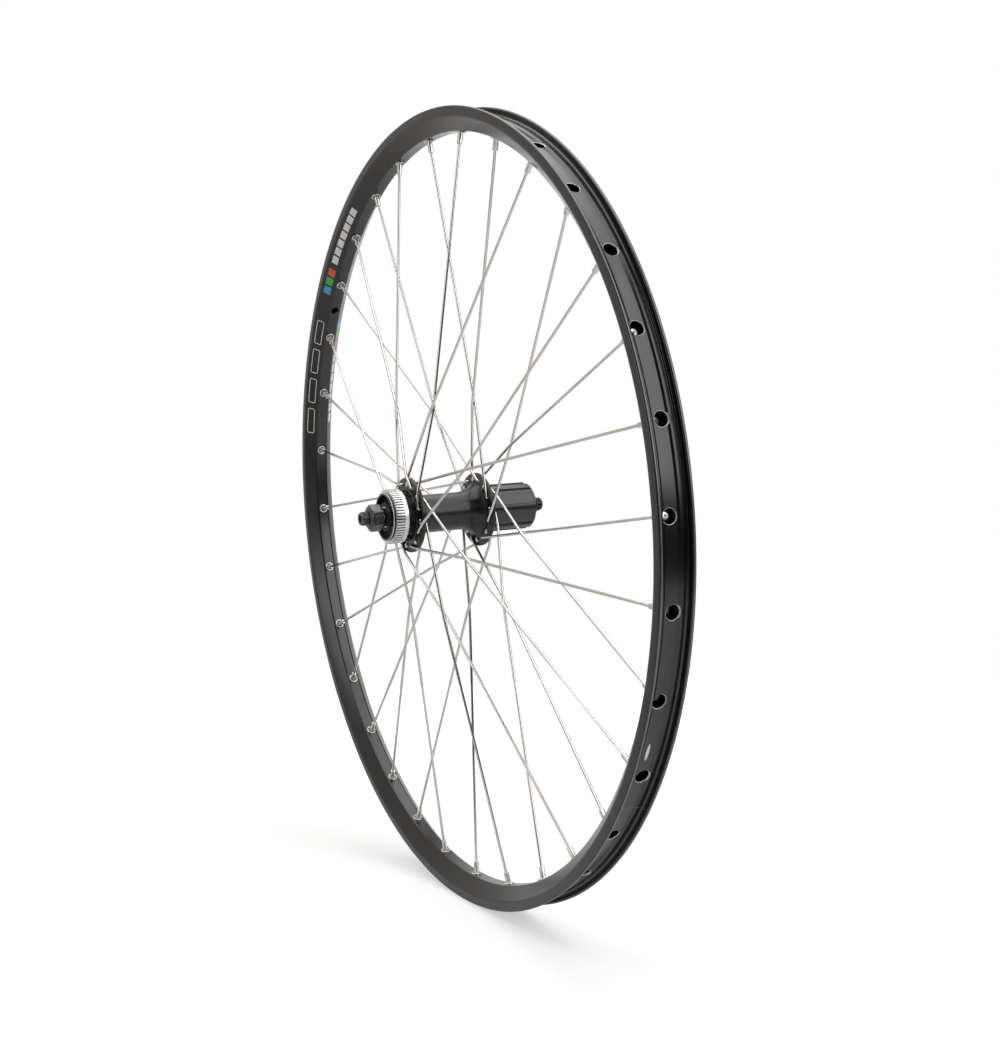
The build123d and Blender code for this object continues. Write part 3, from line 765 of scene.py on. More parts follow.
@dataclass
class Rim:
    """The extruded double-wall hoop with its eyelets."""

    spokes: "SpokeSet"  # The spokes, which say to which side each hole belongs
    outer_r: float = 285.0  # Radius over the flanges
    seat_r: float = 279.5  # Radius of the bead seat
    bed_r: float = 278.5  # Radius of the shallow channel along the middle of the tyre bed
    bed_half: float = 4.6  # Half the width of the channel's floor
    ledge_half: float = 5.9  # Half the width between the bead ledges beside it
    inner_r: float = 268.4  # Radius of the inner face
    crease_r: float = 278.2  # Radius at which the side wall turns inwards
    half: float = 12.5  # Half the width over the flanges
    inner_half: float = 10.5  # Half the width between the flanges
    hook_half: float = 9.8  # Half the width between the bead hooks
    hook: float = 2.8  # Height of the bead hook
    floor_half: float = 4.6  # Half the width of the inner face
    wall: float = 1.5  # Thickness of the slanted walls
    floor_wall: float = 1.6  # Thickness of the inner face
    bridge: float = 1.4  # Thickness of the bridge under the bed
    access_r: float = 4.6  # Radius of the access holes over the nipples
    access_edge: float = 0.35  # Width of the bare chamfer on their edges, whose near-white also paints the highlight that these edges catch
    access_places: tuple[float, float] = (1.25, -0.75)  # Their places along the axle, by the side of their spokes
    barrel_r: float = 2.9  # Radius of an eyelet's barrel
    flange_r: float = 3.6  # Radius of an eyelet's rolled flange
    flange: float = 0.9  # Height of that flange
    mouth_r: float = 2.8  # Radius of an eyelet's mouth
    throat_r: float = 2.45  # Radius of its inner end
    overrun: float = 5.0  # How far the drills start below the inner face
    apart: float = 1.0  # Gap between a drill's end and the middle of the tunnel
    valve_r: float = 3.25  # Radius of the valve hole
    valve_angle: float = 140.625  # Angle of the valve hole in degrees
    steps: int = 384  # Segments of the hoop

    @property
    def slope(self) -> float:
        """How fast the slanted walls open outwards."""
        return (self.half - self.floor_half) / (self.crease_r - self.inner_r)

    def build(self, finishes: Finishes) -> None:
        """Build and place the hoop and the eyelets.

        Args:
            finishes: The wheel's materials.
        """
        hoop = carved(self.hoop(), self.drills())
        place_piece("rim_hoop", hoop, [finishes.rim_black, finishes.bare_edge_and_highlight], "wheel", ["rim"])
        eyelets = repeated(self.eyelet(), self.spokes.count)
        place_piece("rim_eyelet_rings", eyelets, [finishes.eyelet_steel], "wheel", ["rim_eyelets"])

    def hoop(self) -> BMesh:
        """Turn the rim's skin and the closed tunnel inside it.

        Returns:
            The hoop before its holes are drilled.
        """
        near = [
            Corner(self.bed_r, self.bed_half, 1.0, 3),
            Corner(self.seat_r, self.ledge_half, 0.8, 3),
            Corner(self.seat_r, self.inner_half, 1.8, 5),
            Corner(self.outer_r - self.hook, self.inner_half, 0.6),
            Corner(self.outer_r - self.hook / 2, self.hook_half, 0.5),
            Corner(self.outer_r, self.hook_half, 1.2, 6),
            Corner(self.outer_r, self.half, 1.2, 6),
            Corner(self.crease_r, self.half, 3.0, 6),
            Corner(self.inner_r, self.floor_half, 2.0, 6),
        ]
        skin = turned(near + mirrored(near), self.steps)
        tunnel_floor = self.inner_r + self.floor_wall
        roof = self.bed_r - self.bridge
        inside = [Corner(radius, self._tunnel_half(radius)) for radius in (tunnel_floor, roof)]
        tunnel = turned(inside + mirrored(inside), self.steps)
        bmesh.ops.reverse_faces(tunnel, faces=tunnel.faces[:])
        return joined(skin, tunnel)

    def _tunnel_half(self, radius: float) -> float:
        """Half the width of the tunnel at a radius."""
        return self.floor_half + (radius - self.inner_r) * self.slope - self.wall * hypot(1.0, self.slope)

    def drills(self) -> BMesh:
        """Make all the drills: eyelet holes, staggered access holes with chamfers, and the valve hole.

        Returns:
            All the drills as one mesh.
        """
        holes = self.spokes.count
        middle = (self.inner_r + self.bed_r) / 2
        bottom = self.inner_r - self.overrun
        turn = Matrix.Rotation(pi / 2, 4, "Y")
        tools = repeated(moved(drill(self.barrel_r, bottom, middle - self.apart, 32), turn), holes)
        pattern = [side for side, _ in self.spokes.PATTERN]
        for side, place in zip(Side, self.access_places):
            first = about_axle(pattern.index(side) * self.spokes.pitch) @ Matrix.Translation((0.0, place, 0.0))
            joined(tools, repeated(moved(self._access_drill(middle + self.apart), first @ turn), holes // 2))
        valve = moved(drill(self.valve_r, bottom, self.outer_r), about_axle(self.valve_angle) @ turn)
        return joined(tools, valve)

    def _access_drill(self, bottom: float) -> BMesh:
        """Make the drill of an access hole, widened to its chamfer at the bed.

        Args:
            bottom: Radius at which the drill starts.

        Returns:
            The drill, whose chamfer leaves near-white bare metal, partly a painted highlight on the hole's edge.
        """
        over_bed, over_chamfer = 0.25, 2.0
        chamfer_start = self.bed_r - self.access_edge
        access = drill(self.access_r, bottom, chamfer_start)
        reach = self.access_edge + over_bed
        top = max(access.faces, key=lambda face: face.calc_center_median().z)
        for scale, rise in ((1.0 + reach / self.access_r, reach), (1.0, over_chamfer)):
            top = bmesh.ops.extrude_discrete_faces(access, faces=[top])["faces"][0]
            bmesh.ops.scale(access, vec=(scale, scale, 1.0), verts=top.verts[:])
            bmesh.ops.translate(access, vec=(0.0, 0.0, rise), verts=top.verts[:])
        # The chamfer's faces take the near-white bare finish: bare metal, and a painted highlight on the hole's edge.
        for face in access.faces:
            face.material_index = int(face.calc_center_median().z > chamfer_start)
        return access

    def eyelet(self) -> BMesh:
        """Turn the eyelet of the first hole, with its rolled flange on the rim's inner face.

        Returns:
            The closed eyelet.
        """
        seat = sqrt(self.inner_r**2 - self.flange_r**2) - self.inner_r
        face = seat - self.flange
        corners = [
            Corner(self.mouth_r, face, 0.3, 4),
            Corner(self.flange_r, face, 0.42, 5),
            Corner(self.flange_r, seat, 0.08, 2),
            Corner(self.barrel_r, seat),
            Corner(self.barrel_r, self.floor_wall, 0.1, 2),
            Corner(self.throat_r, self.floor_wall, 0.1, 2),
        ]
        return moved(turned(corners, 40), radial_frame(0.0, self.inner_r) @ lathe_frame())


@dataclass
class SpokeSet:
    """The laced spokes and their nipples."""

    count: int = 32  # Number of spokes
    crossings: int = 3  # How many others each spoke crosses
    wire_r: float = 1.0  # Radius of the wire
    head_r: float = 1.9  # Radius of the head
    head_height: float = 1.1  # Height of the head
    hub_r: float = 22.5  # Radius of the spoke holes in the flanges
    flange_r: float = 27.0  # Radius of the flanges
    flange_half: float = 1.5  # Half the flanges' thickness
    flange_places: tuple[float, float] = (-35.0, 20.0)  # Place of each flange along the axle
    seat_r: float = 271.249  # Radius at which the nipples' heads rest
    rim_r: float = 268.4  # Radius of the rim's inner face
    elbow_bend: float = 1.4  # Bend at the head
    edge_bend: float = 15.0  # Bend at the flange's edge
    lacing_bend: float = 25.0  # Bend at the last crossing
    flange_gap: float = 0.05  # Gap between a spoke and its flange
    lacing_gap: float = 0.1  # Gap between two laced spokes
    nipple_r: float = 1.9  # Radius of a nipple's shank
    nipple_flat: float = 1.65  # Half the width over its flats
    nipple_head_r: float = 2.75  # Radius of its round head
    nipple_reach: float = 8.7  # How far a nipple reaches below the rim's inner face
    nipple_top: float = 2.4  # Height of its head over its seat
    nipple_neck: float = 2.5  # Length of the round part between its head and its flats
    nipple_bore_r: float = 0.9  # Radius of its bore
    sides: int = 20  # Facets round the wire
    bend_step: float = radians(9.0)  # Angle of one segment of a bend

    PATTERN = ((Side.RIGHT, 1), (Side.LEFT, -1), (Side.RIGHT, -1), (Side.LEFT, 1))

    @property
    def pitch(self) -> float:
        """Angle between rim holes in degrees."""
        return 360.0 / self.count

    @property
    def cross_degrees(self) -> float:
        """Angle about the axle between a spoke's hub hole and its rim hole."""
        return 2 * self.crossings * self.pitch

    def build(self, finishes: Finishes) -> None:
        """Build and place every spoke, and the nipples as one piece.

        Args:
            finishes: The wheel's materials.
        """
        nipples = bmesh.new()
        for hole in range(self.count):
            side, turn = self.PATTERN[hole % len(self.PATTERN)]
            place = about_axle(hole * self.pitch - turn * self.cross_degrees)
            points = self.route(side, turn)
            name = f"spoke_{hole + 1:02d}"
            wire = moved(self.wire(points), place)
            place_piece(f"{name}_wire", wire, [finishes.spoke_steel], "wheel", [name])
            joined(nipples, moved(self.nipple(points), place))
        place_piece("nipples", nipples, [finishes.nipple_plate], "wheel", ["spoke_nipples"])

    def route(self, side: Side, turn: int) -> list[Vector]:
        """Find the corners of a spoke's centre line, for a hub hole at angle zero.

        Args:
            side: The flange that it starts from.
            turn: Which way it turns about the axle on its way out.

        Returns:
            The corners, from its head to the rim.
        """
        lies = -turn
        place = self.flange_places[0 if side is Side.LEFT else 1]
        rim_angle = radians(turn * self.cross_degrees)
        hub = Vector((self.hub_r, 0.0, 0.0))
        run = Vector((self.seat_r * cos(rim_angle), 0.0, self.seat_r * sin(rim_angle))) - hub

        def along(share: float, y: float) -> Vector:
            """A point on the run, at a place along the axle."""
            return hub + run * share + Vector((0.0, y, 0.0))

        leg_y = place + lies * (self.flange_half + self.wire_r + self.flange_gap)
        rim_half = radians(self.pitch)
        hub_offset = self.hub_r * sin(radians(self.cross_degrees) - rim_half)
        cross_share = hub_offset / (hub_offset + self.seat_r * sin(rim_half))
        cross_y = place * (1 - cross_share) - lies * (self.wire_r + self.lacing_gap / 2)
        points = [along(0.0, place - lies * self.flange_half), along(0.0, leg_y)]
        if lies == side.value:
            lean = hub.dot(run) / run.length
            bend_r = self.flange_r + self.wire_r
            flat = sqrt(lean**2 + bend_r**2 - self.hub_r**2) - lean
            bend_turn = atan2(abs(leg_y - cross_y), cross_share * run.length - flat)
            points.append(along((flat + self.edge_bend * tan(bend_turn / 2)) / run.length, leg_y))
        return points + [along(cross_share, cross_y), along(1.0, 0.0)]

    def wire(self, points: list[Vector]) -> BMesh:
        """Bend a headed wire along its corners.

        Args:
            points: The corners of its centre line.

        Returns:
            The closed wire.
        """
        mesh = bmesh.new()
        bends = [self.elbow_bend] + [self.edge_bend] * (len(points) - 4) + [self.lacing_bend]
        first = (points[1] - points[0]).normalized()
        frame = Matrix.Translation(points[0]) @ first.to_track_quat("Z", "Y").to_matrix().to_4x4()
        bmesh.ops.create_circle(mesh, segments=self.sides, radius=self.wire_r, matrix=frame)
        ring = mesh.edges[:]
        self._head(mesh, ring, points[0], first)
        at = points[0]
        for corner, after, bend in zip(points[1:], points[2:], bends):
            inwards, outwards = (corner - at).normalized(), (after - corner).normalized()
            angle = inwards.angle(outwards)
            tangent = inwards * bend * tan(angle / 2)
            ring = self._feed(mesh, ring, corner - tangent - at)
            axis = inwards.cross(outwards).normalized()
            centre = corner - tangent + axis.cross(inwards) * bend
            steps = max(3, round(angle / self.bend_step))
            spun = bmesh.ops.spin(mesh, geom=ring, cent=centre, axis=axis, angle=angle, steps=steps)
            ring = [item for item in spun["geom_last"] if isinstance(item, BMEdge)]
            at = corner + outwards * bend * tan(angle / 2)
        ring = self._feed(mesh, ring, points[-1] - at)
        bmesh.ops.edgeloop_fill(mesh, edges=ring)
        bmesh.ops.recalc_face_normals(mesh, faces=mesh.faces[:])
        return mesh

    def _head(self, mesh: BMesh, ring: list[BMEdge], foot: Vector, first: Vector) -> None:
        """Form the mushroom head on the wire's first ring.

        Args:
            mesh: The wire's mesh.
            ring: The edges of its first ring.
            foot: Centre of that ring.
            first: The direction in which the wire leaves it.
        """
        stages = ((self.head_r, 0.0), (self.head_r, 0.45), (0.87 * self.head_r, 0.8), (0.5 * self.head_r, 1.0))
        radius, height = self.wire_r, 0.0
        for wanted, share in stages:
            verts, ring = self._grown(mesh, ring)
            centre = Matrix.Translation(-(foot - first * height))
            bmesh.ops.scale(mesh, vec=(wanted / radius,) * 3, space=centre, verts=verts)
            bmesh.ops.translate(mesh, vec=first * (height - share * self.head_height), verts=verts)
            radius, height = wanted, share * self.head_height
        bmesh.ops.edgeloop_fill(mesh, edges=ring)

    @staticmethod
    def _grown(mesh: BMesh, ring: list[BMEdge]) -> tuple[list[BMVert], list[BMEdge]]:
        """Grow a new ring out of the wire's last one, still in its place.

        Args:
            mesh: The wire's mesh.
            ring: The edges of its last ring.

        Returns:
            The corners and the edges of the new ring.
        """
        grown = bmesh.ops.extrude_edge_only(mesh, edges=ring)["geom"]
        verts = [item for item in grown if isinstance(item, BMVert)]
        return verts, [item for item in grown if isinstance(item, BMEdge) and set(item.verts) <= set(verts)]

    def _feed(self, mesh: BMesh, ring: list[BMEdge], step: Vector) -> list[BMEdge]:
        """Push the wire straight on.

        Args:
            mesh: The wire's mesh.
            ring: The edges of its last ring.
            step: How far it goes.

        Returns:
            The edges of its new last ring.
        """
        verts, ring = self._grown(mesh, ring)
        bmesh.ops.translate(mesh, vec=step, verts=verts)
        return ring

    def nipple(self, points: list[Vector]) -> BMesh:
        """Make the nipple at the end of a spoke, its axis along the spoke's pull.

        Args:
            points: The corners of the spoke's centre line.

        Returns:
            The closed nipple.
        """
        tip = self.rim_r - self.nipple_reach - self.seat_r
        neck = -sqrt(self.nipple_head_r**2 - self.nipple_r**2)
        flats_top = neck - self.nipple_neck
        corners = [
            Corner(self.nipple_bore_r, tip, 0.1, 2),
            Corner(self.nipple_r, tip, 0.45, 4),
            Corner(self.nipple_r, flats_top),
            Corner(self.nipple_r, neck),
            Corner(self.nipple_head_r, 0.35 * neck, 1.0, 4),
            Corner(0.92 * self.nipple_head_r, self.nipple_top, 0.3, 3),
            Corner(self.nipple_bore_r, self.nipple_top),
        ]
        mesh = moved(turned(corners, 32), lathe_frame())
        for vert in mesh.verts:
            if vert.co.z < flats_top - 0.01:
                vert.co.x = max(-self.nipple_flat, min(self.nipple_flat, vert.co.x))
                vert.co.y = max(-self.nipple_flat, min(self.nipple_flat, vert.co.y))
        pull = (points[-1] - points[-2]).normalized()
        side = pull.cross(AXLE).normalized()
        frame = Matrix((side, pull.cross(side), pull)).transposed().to_4x4()
        return moved(mesh, Matrix.Translation(points[-1]) @ frame)


@dataclass
class HubShell:
    """The black forged shell with its silver disc ring."""

    spokes: SpokeSet  # The spokes, which say where the flanges and their holes are
    boss_end: float = -54.3  # Outer end of the disc boss along the axle
    lip_r: float = 17.3  # Radius of the lip round its mouth
    lock_r: float = 15.5  # Radius of its bore
    ring_r: float = 19.5  # Radius of the disc ring
    ring_places: tuple[float, float] = (-52.7, -43.3)  # Where the disc ring starts and ends
    teeth: int = 58  # Number of teeth on it
    tooth_end: float = -46.3  # Where the gaps between the teeth end
    tooth_depth: float = 0.9  # Depth of the gaps
    gap_share: float = 0.44  # Share of the pitch that a gap takes
    neck_r: float = 18.2  # Radius of the neck behind the ring
    hole_r: float = 1.3  # Radius of a spoke hole
    barrel_r: float = 13.8  # Radius of the barrel
    shoulder: tuple[float, float] = (17.0, 4.5)  # Radius and length of the cone from the left flange to the barrel
    bell_start: float = 11.4  # Where the barrel opens into the bell
    bell_round: float = 18.0  # Radius of the curve there
    bell_r: float = 20.0  # Radius of the bell at the right flange
    bell_step: float = 0.9  # Length of the step at its end
    face_r: float = 18.0  # Radius of the face beside the freehub
    face_place: float = 25.0  # Place of that face
    core_seat: tuple[float, float] = (11.5, 19.0)  # Radius of the freehub core's seat, and the place of its floor
    bolt_seat: tuple[float, float] = (8.0, 11.0)  # Radius of the freehub bolt's seat, and the place of its floor
    bore_r: float = 9.5  # Radius of the bore round the axle
    cup_r: float = 14.0  # Radius of the left bearing's seat
    cup_places: tuple[float, float] = (-49.3, -40.1)  # Where that seat starts and ends
    steps: int = 192  # Segments of the full turn

    def build(self, finishes: Finishes) -> None:
        """Build and place the shell.

        Args:
            finishes: The wheel's materials.
        """
        shell = carved(self.body(), self.tools())
        for face in shell.faces:
            face.material_index = self.finish_number(face)
        finish = [finishes.hub_black, finishes.machined_ring, finishes.bare_edge_and_highlight]
        place_piece("hub_body", shell, finish, "wheel", ["hub_shell"])

    def finish_number(self, face: BMFace) -> int:
        """Tell the black skin from the turned ring and the bare edge of the lip.

        Args:
            face: A face of the shell.

        Returns:
            0 for black, 1 for the ring and 2 for the edge.
        """
        centre = face.calc_center_median()
        radius = hypot(centre.x, centre.z)
        ring_start, ring_end = self.ring_places
        if ring_start - 0.05 < centre.y < ring_end + 0.05 and radius > self.lip_r + 0.2:
            deep = radius < self.ring_r - 0.6 * self.tooth_depth
            return 0 if deep and ring_start + 0.1 < centre.y < self.tooth_end else 1
        on_edge = centre.y < self.boss_end + 0.45 and radius > self.lip_r - 0.5
        return 2 if on_edge and abs(face.normal.y) < 0.97 else 0

    def body(self) -> BMesh:
        """Turn the shell.

        Returns:
            The shell before its holes and gaps are cut.
        """
        left, right = self.spokes.flange_places
        half, flange_r = self.spokes.flange_half, self.spokes.flange_r
        ring_start, ring_end = self.ring_places
        shoulder_r, shoulder_length = self.shoulder
        (core_r, core_y), (bolt_r, bolt_y) = self.core_seat, self.bolt_seat
        cup_start, cup_end = self.cup_places
        corners = [
            Corner(self.lock_r, self.boss_end, 0.2, 2),
            Corner(self.lip_r, self.boss_end, 0.4, 3),
            Corner(self.lip_r, ring_start, 0.2, 2),
            Corner(self.ring_r, ring_start, 0.25, 3),
            Corner(self.ring_r, ring_end, 0.3, 3),
            Corner(self.neck_r, ring_end, 0.2, 2),
            Corner(self.neck_r, left - half, 1.0, 4),
            Corner(flange_r, left - half, 0.9, 5),
            Corner(flange_r, left + half, 0.9, 5),
            Corner(shoulder_r, left + half, 0.8, 4),
            Corner(self.barrel_r, left + half + shoulder_length, 4.0, 6),
            Corner(self.barrel_r, self.bell_start, self.bell_round, 12),
            Corner(self.bell_r, right - half - self.bell_step, 0.35, 3),
            Corner(self.bell_r, right - half, 0.2, 2),
            Corner(flange_r, right - half, 0.9, 5),
            Corner(flange_r, right + half, 0.9, 5),
            Corner(self.face_r, right + half, 0.5, 3),
            Corner(self.face_r, self.face_place, 0.3, 2),
            Corner(core_r, self.face_place),
            Corner(core_r, core_y),
            Corner(bolt_r, core_y),
            Corner(bolt_r, bolt_y),
            Corner(self.bore_r, bolt_y),
            Corner(self.bore_r, cup_end),
            Corner(self.cup_r, cup_end),
            Corner(self.cup_r, cup_start, 0.2, 2),
            Corner(self.lock_r, cup_start),
        ]
        return turned(corners, self.steps)

    def tools(self) -> BMesh:
        """Make the cutters of the disc ring's gaps and the spoke holes.

        Returns:
            All the cutters as one mesh.
        """
        spokes = self.spokes
        sweep = 360.0 / self.teeth * self.gap_share
        radii = (self.ring_r - self.tooth_depth, self.ring_r + 1.0)
        gap = arc_block(radii, (self.ring_places[0] - 0.5, self.tooth_end), sweep / 2, sweep)
        tools = repeated(gap, self.teeth)
        for place, side in zip(spokes.flange_places, Side):
            hole = next(i for i, (s, _) in enumerate(spokes.PATTERN) if s is side)
            angle = hole * spokes.pitch - spokes.PATTERN[hole][1] * spokes.cross_degrees
            bit = drill(self.hole_r, -2 * spokes.flange_half, 2 * spokes.flange_half, 24)
            where = about_axle(angle) @ Matrix.Translation((spokes.hub_r, place, 0.0)) @ lathe_frame()
            joined(tools, repeated(moved(bit, where), spokes.count // 2))
        return tools


@dataclass
class AxleSet:
    """The axle with its locknuts and the rings on it."""

    tip: float = 73.0  # Place of the axle's ends
    radius: float = 5.0  # The axle's radius
    bore_r: float = 2.65  # Radius of its bore
    thread_root: float = 0.55  # Depth of its thread
    thread_pitch: float = 1.0  # Pitch of its thread
    run_out: float = 0.5  # How far its ridge starts and ends from the threaded part's ends
    locknut_face: float = 67.5  # Place of the locknuts' outer faces
    locknut_flats: float = 17.0  # Width across their flats
    nose_r: float = 6.25  # Radius of their noses
    nose_length: float = 2.2  # Length of their noses

    def build(self, finishes: Finishes) -> None:
        """Build and place the axle and what sits on it.

        Args:
            finishes: The wheel's materials.
        """
        pieces = [
            ("axle_threaded", self.axle(), "axle", "black_steel", "axle"),
            ("left_locknut_hex", self.locknut(Side.LEFT, 9.5), "axle", "black_steel", "left_locknut"),
            ("right_locknut_hex", self.locknut(Side.RIGHT, 6.0), "axle", "black_steel", "right_locknut"),
        ]
        rings = (
            ("left_washer_ring", (self.radius, 7.8, -58.0, -57.0, 0.2), "axle", "bearing_steel", "left_washer"),
            ("left_seal_ring", (7.5, 10.4, -54.0, -52.4, 0.35), "axle", "seal_rubber", "left_cone_seal"),
            ("right_spacer_ring", (self.radius, 7.0, 59.6, 61.5, 0.2), "axle", "black_steel", "right_spacer"),
            ("right_cover_ring", (7.0, 14.6, 59.6, 60.6, 0.25), "axle", "black_steel", "right_dust_cover"),
            ("left_cap_ring", (10.2, 14.0, -49.3, -48.1, 0.25), "wheel", "black_steel", "left_dust_cap"),
        )
        pieces += [(name, turned_ring(*sizes), *rest) for name, sizes, *rest in rings]
        for name, mesh, body, slot, node in pieces:
            place_piece(name, mesh, [getattr(finishes, slot)], body, [node])

    def axle(self) -> BMesh:
        """Turn the hollow axle and wind a thread on each end.

        Returns:
            The axle's mesh.
        """
        root = self.radius - self.thread_root
        thread_end = self.locknut_face - 2.0
        half = [
            Corner(self.bore_r, self.tip, 0.25, 2),
            Corner(root, self.tip, 0.3, 2),
            Corner(root, thread_end),
            Corner(self.radius, thread_end),
        ]
        body = turned(half + mirrored(half), 64)
        for sign in (-1.0, 1.0):
            joined(body, self.thread(sign * (thread_end - self.run_out), sign * (self.tip - self.run_out)))
        return body

    def thread(self, start: float, end: float) -> BMesh:
        """Wind one ridge of the thread.

        Args:
            start: Where the ridge starts along the axle.
            end: Where it ends.

        Returns:
            The closed ridge.
        """
        mesh = bmesh.new()
        root = self.radius - self.thread_root - 0.1
        half = 0.46 * self.thread_pitch
        sign = 1.0 if end > start else -1.0
        ridge = [(root, -half), (self.radius, -0.06), (self.radius, 0.06), (root, half)]
        face = mesh.faces.new([mesh.verts.new((r, start + y, 0.0)) for r, y in ridge])
        turns = abs(end - start - sign * half) / self.thread_pitch
        steps = round(turns * 40)
        rise = AXLE * sign * self.thread_pitch * turns / steps
        bmesh.ops.spin(mesh, geom=[face], cent=CENTRE, axis=AXLE, dvec=rise, angle=2 * pi * turns, steps=steps)
        bmesh.ops.recalc_face_normals(mesh, faces=mesh.faces[:])
        return mesh

    def locknut(self, side: Side, length: float) -> BMesh:
        """Cut a hexagon nut with a turned nose.

        Args:
            side: The end of the axle that it is on.
            length: Its length.

        Returns:
            The nut's mesh.
        """
        face = side.value * self.locknut_face
        back = face - side.value * length
        corner_r = self.locknut_flats / sqrt(3)
        envelope = [
            Corner(self.radius, back),
            Corner(corner_r - 0.7, back),
            Corner(corner_r + 0.05, back + side.value * 0.5),
            Corner(corner_r + 0.05, face - side.value * self.nose_length),
            Corner(self.nose_r, face, 0.25, 3),
            Corner(self.radius, face, 0.4, 2),
        ]
        bar = hexagon(self.locknut_flats, min(face, back) - 1.0, max(face, back) + 1.0)
        edges = [e for e in bar.edges if abs((e.verts[0].co - e.verts[1].co).normalized().y) > 0.9]
        bevelled(bar, edges, 0.25, 2, "EDGES")
        return carved(turned(envelope, 96), bar, Cut.COMMON)


@dataclass
class Freehub:
    """The splined shell that carries the sprockets."""

    places: tuple[float, float] = (26.0, 61.0)  # Start and end along the axle
    crest_r: float = 17.4  # Radius over the splines
    root_r: float = 16.2  # Radius of the grooves
    splines: int = 9  # Number of splines
    groove: float = 22.0  # Angle of a groove in degrees
    index_groove: float = 15.0  # Angle of the one narrow groove
    lock_r: float = 15.0  # Radius of the lockring's thread
    lock_depth: float = 7.0  # Depth of that thread
    chamfer: float = 1.5  # Length of the chamfer at its end
    bore_r: float = 13.08  # Radius of the bore that runs on the core
    bore_end: float = 50.8  # Where that bore ends
    mouth_r: float = 14.3  # Radius between the bore and the lockring's thread
    ratchet_r: float = 14.6  # Radius of the room of the pawls
    ratchet_places: tuple[float, float] = (28.0, 37.0)  # Where that room starts and ends
    soft_edge: float = 0.15  # Round on the edges of the splines
    steps: int = 180  # Segments of the full turn

    def build(self, finishes: Finishes) -> None:
        """Build and place the splined body and its seal.

        Args:
            finishes: The wheel's materials.
        """
        body = carved(self.shell(), self.grooves())
        steel = [finishes.freehub_steel]
        piece = place_piece("freehub_shell", body, steel, "freehub", ["freehub_body"])
        edges = piece.modifiers.new("soft_edges", "BEVEL")
        edges.width = self.soft_edge * MM
        edges.segments = 2
        edges.limit_method = "ANGLE"
        edges.angle_limit = radians(50.0)
        seal = turned_ring(13.0, 16.0, 25.0, 25.7, 0.15)
        place_piece("freehub_seal_ring", seal, [finishes.seal_rubber], "wheel", ["freehub_seal"])

    def shell(self) -> BMesh:
        """Turn the shell before its grooves are cut.

        Returns:
            The closed shell.
        """
        start, end = self.places
        ratchet_start, ratchet_end = self.ratchet_places
        corners = [
            Corner(self.bore_r, start),
            Corner(self.crest_r, start, 0.3, 2),
            Corner(self.crest_r, end - self.chamfer, 0.5, 3),
            Corner(self.root_r - 0.1, end, 0.3, 3),
            Corner(self.lock_r, end, 0.3, 2),
            Corner(self.lock_r, end - self.lock_depth),
            Corner(self.mouth_r, end - self.lock_depth),
            Corner(self.mouth_r, self.bore_end),
            Corner(self.bore_r, self.bore_end),
            Corner(self.bore_r, ratchet_end),
            Corner(self.ratchet_r, ratchet_end),
            Corner(self.ratchet_r, ratchet_start),
            Corner(self.bore_r, ratchet_start),
        ]
        return turned(corners, self.steps)

    def grooves(self) -> BMesh:
        """Make the cutters of the grooves between the splines.

        Returns:
            All the cutters as one mesh.
        """
        start, end = self.places
        radii = (self.root_r, self.crest_r + 1.0)
        tools = bmesh.new()
        for i in range(self.splines):
            sweep = self.index_groove if i == 0 else self.groove
            joined(tools, arc_block(radii, (start - 1.0, end + 1.0), i * 360.0 / self.splines, sweep))
        return tools


@dataclass(frozen=True)
class Row:
    """A row of marks along the rim."""

    first: float  # Where the first one starts, in degrees from the valve hole
    pitch: float  # Angle from one to the next
    length: float  # Angle that one covers
    span: tuple[float, float]  # Its two edges as shares of the wall, from the inner face outwards

    def ends(self, index: int, way: int) -> tuple[float, float]:
        """Find the two ends of a mark by its number and the way that the row runs, from the valve hole."""
        start = way * (self.first + self.pitch * index)
        return start, start + way * self.length


